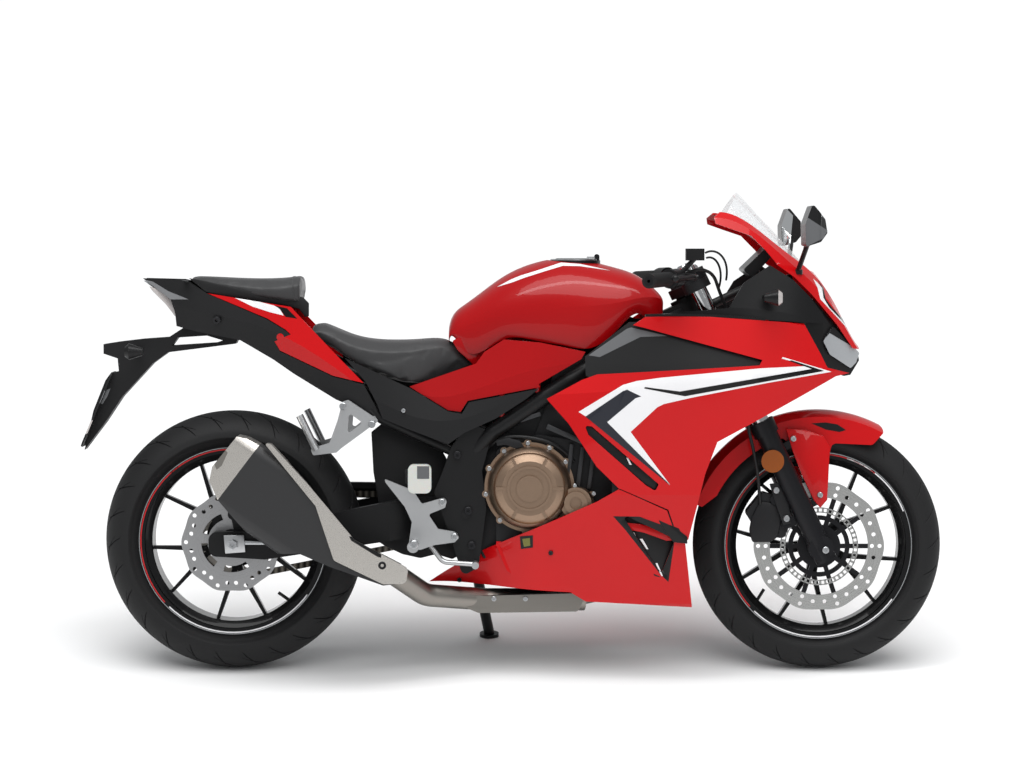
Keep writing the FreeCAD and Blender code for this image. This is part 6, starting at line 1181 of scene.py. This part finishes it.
# %% Small turned cover
COVER_RADIUS = 0.037
COVER_HEIGHT = 0.030
COVER_Y = -0.172
COVER_BOLT_Y = -0.165
cover_pixel = (576.0, 503.5)
cover_bolt_pixels = [(575, 486), (594, 494)]
bpy.ops.object.select_all(action="DESELECT")
bpy.ops.mesh.primitive_cylinder_add(vertices=40, radius=COVER_RADIUS, depth=COVER_HEIGHT,
                                    rotation=(math.pi / 2, 0, 0))
cover = bpy.context.object
bpy.ops.object.transform_apply(location=True, rotation=True, scale=True)
open_faces(cover, lambda face: face.normal.y < -0.9)
width = COVER_RADIUS
for share, rise in ((0.75, 0.25), (0.4, -0.3)):
    bpy.ops.mesh.inset(thickness=width - share * COVER_RADIUS)
    bpy.ops.mesh.extrude_region_move(TRANSFORM_OT_translate={"value": (0, -rise * COVER_HEIGHT, 0)})
    width = share * COVER_RADIUS
close_faces()
cover.data.transform(Matrix.Translation(seen(*cover_pixel, COVER_Y) + ACROSS * COVER_HEIGHT / 2))
settle(cover, "small_cover", "chassis", bronze_paint)
bolt_group("small_cover_bolts", at_depth(cover_bolt_pixels, COVER_BOLT_Y), 5.0, zinc_plate)

# %% Cable bracket and engine ribs
cable_lug_outline = [(514, 446), (520, 446), (526, 456), (526, 468), (521, 471), (516, 465), (513, 455)]
cable_arm_outline = [(496, 441), (508, 438), (520, 441), (524, 447), (516, 449), (506, 445), (497, 446)]
plate("cable_lug", cable_lug_outline, flange_y - 0.014, flange_y + 0.004, bronze_paint, "bronze_metal", 3)
plate("cable_arm", cable_arm_outline, flange_y - 0.018, flange_y - 0.010, cast_black, "engine_black", 1)
RIB_DEPTHS = (-0.138, -0.122)
rib_outlines = [
    [(570, 444), (574, 445), (570, 478), (566, 474)], [(581, 447), (585, 448), (580, 488), (576, 484)],
    [(592, 452), (596, 454), (591, 489), (587, 489)], [(548, 424), (596, 446), (595, 450), (546, 429)],
    [(500, 424), (540, 412), (541, 416), (501, 429)],
]
for index, outline in enumerate(rib_outlines):
    plate(f"engine_rib_{index + 1}", outline, *RIB_DEPTHS, dark_satin, "engine_black", side="right")


# %% Hoses that are held at both ends
def hose(name, route, radius_mm, body="chassis"):
    """A smooth tube along a route, made as a curve with a round bevel and then turned into a mesh."""
    bpy.ops.object.select_all(action="DESELECT")
    bpy.ops.curve.primitive_nurbs_path_add(location=(0, 0, 0))
    line = bpy.context.object
    spline = line.data.splines[0]
    if len(route) > len(spline.points):
        spline.points.add(len(route) - len(spline.points))
    for point, (column, row, y) in zip(spline.points, route):
        point.co = (*seen(column, row, y), 1)
    line.data.bevel_depth = radius_mm * MM
    line.data.bevel_resolution = 3
    line.data.use_fill_caps = True
    line.data.resolution_u = 8
    bpy.ops.object.convert(target="MESH")
    settle(line, name, body, hose_rubber)


# A route is a list of pixels, each with its depth across the bike.
engine_hose_route = [
    (485, 452, -0.11), (492, 440, -0.13), (512, 434, -0.14), (540, 438, -0.14), (560, 446, -0.135),
    (574, 462, -0.125),
]
cable_route = [
    (705, 253, -0.13), (713, 248, -0.13), (724, 252, -0.125), (729, 264, -0.12), (726, 280, -0.10),
]
low_cable_route = [
    (706, 258, -0.12), (713, 255, -0.12), (720, 261, -0.115), (723, 273, -0.11), (719, 287, -0.09),
]
hose("engine_hose", engine_hose_route, 5.0)
hose("front_cable", cable_route, 2.6, "steering")
hose("front_cable_low", low_cable_route, 2.6, "steering")

# %% [markdown]
# Last marks: the muffler shield has a dark slot and a deep bolt, its end cap a recess, the fluid box a window
# and a clamp, the lower cowl a small window with a rim, and the plate holder two reflectors. A red
# strip on the engine block closes the thin line where it comes through the lower cowl.

# %% Marks on the muffler, boxes and plate holder
shield_slot_outline = [(348.5, 537), (352, 537.3), (381, 555.5), (380.5, 558.5), (377, 557.5), (351, 541.5)]
cap_recess_outline = [(213, 463), (224, 450), (227, 453), (221, 466), (216, 470)]
seam_line_outline = [(495.5, 542), (501, 542), (513, 578), (507, 578)]
window_rim_outline = [(520, 537), (533, 536), (533, 548), (521, 549.5)]
window_outline = [(522.5, 539.5), (530, 538.5), (530.5, 546), (524, 547)]
fluid_window_outline = [(417, 466.5), (429, 466.5), (429, 479), (417, 479)]
reflector_outline = [(82.5, 433), (88, 421.5), (94, 419.5), (92, 425), (86, 434)]
plate_block_outline = [(99, 403), (104, 391), (110, 388.5), (107, 396), (102, 404)]
indicator_rim_outline = [(778.5, 286), (785, 286), (785, 306), (778.5, 306)]
last_marks = [
    ("muffler_covers", "shield_slot", shield_slot_outline, smooth_abs, "muffler_silver", 0.5, None),
    ("muffler_covers", "cap_recess", cap_recess_outline, pipe_steel, "muffler_silver", 0.5, None),
    ("engine_block", "cowl_seam_line", seam_line_outline, red_enamel, "red_paint", 1.8, "right"),
    ("lower_cowl_right", "cowl_window_rim", window_rim_outline, smooth_abs, "red_paint", 0.8, None),
    ("lower_cowl_right", "cowl_window", window_outline, window_olive, "red_paint", 1.4, None),
    ("rear_reservoir", "fluid_window", fluid_window_outline, satin_grey, "white_plastic", 0.5, None),
    ("plate_bracket", "plate_reflector", reflector_outline, pale_lens, "lamp_glass", 0.5, "right"),
    ("plate_bracket", "plate_block", plate_block_outline, grey_lens, "lamp_glass", 0.5, "right"),
    ("indicators", "indicator_rim", indicator_rim_outline, pale_lens, "lamp_glass", 0.4, "right"),
]
for mark in last_marks:
    film(*mark)

# %% Last bolts and the fluid box's clamp
SHIELD_BOLT_SINK = 7.5 * MM
shield_pixel, pedal_pixel, reservoir_pixel = (381.7, 566.4), (413.5, 545), (418, 474)
pipe_box_pixels = [(493.9, 599.8), (525.5, 599.8)]
clamp_outline = [(404.5, 470), (411, 468), (411.5, 485), (405, 484)]
shield_place, shield_normal = touched("muffler_covers", *shield_pixel)
shield_spots = [(shield_place - shield_normal * SHIELD_BOLT_SINK, shield_normal)]
bolt_group("shield_bolt", shield_spots, 9.5, black_bolt)
bolt_group("pedal_pivot", on_surface(None, [pedal_pixel]), 10.0, zinc_plate)
bolt_group("pipe_box_bolts", on_surface(None, pipe_box_pixels), 6.0, zinc_plate)
cap_y = depth_at("rear_reservoir", reservoir_pixel)
plate("fluid_box_clamp", clamp_outline, cap_y + 0.004, cap_y + 0.022, moulded_abs, "black_plastic", 2)
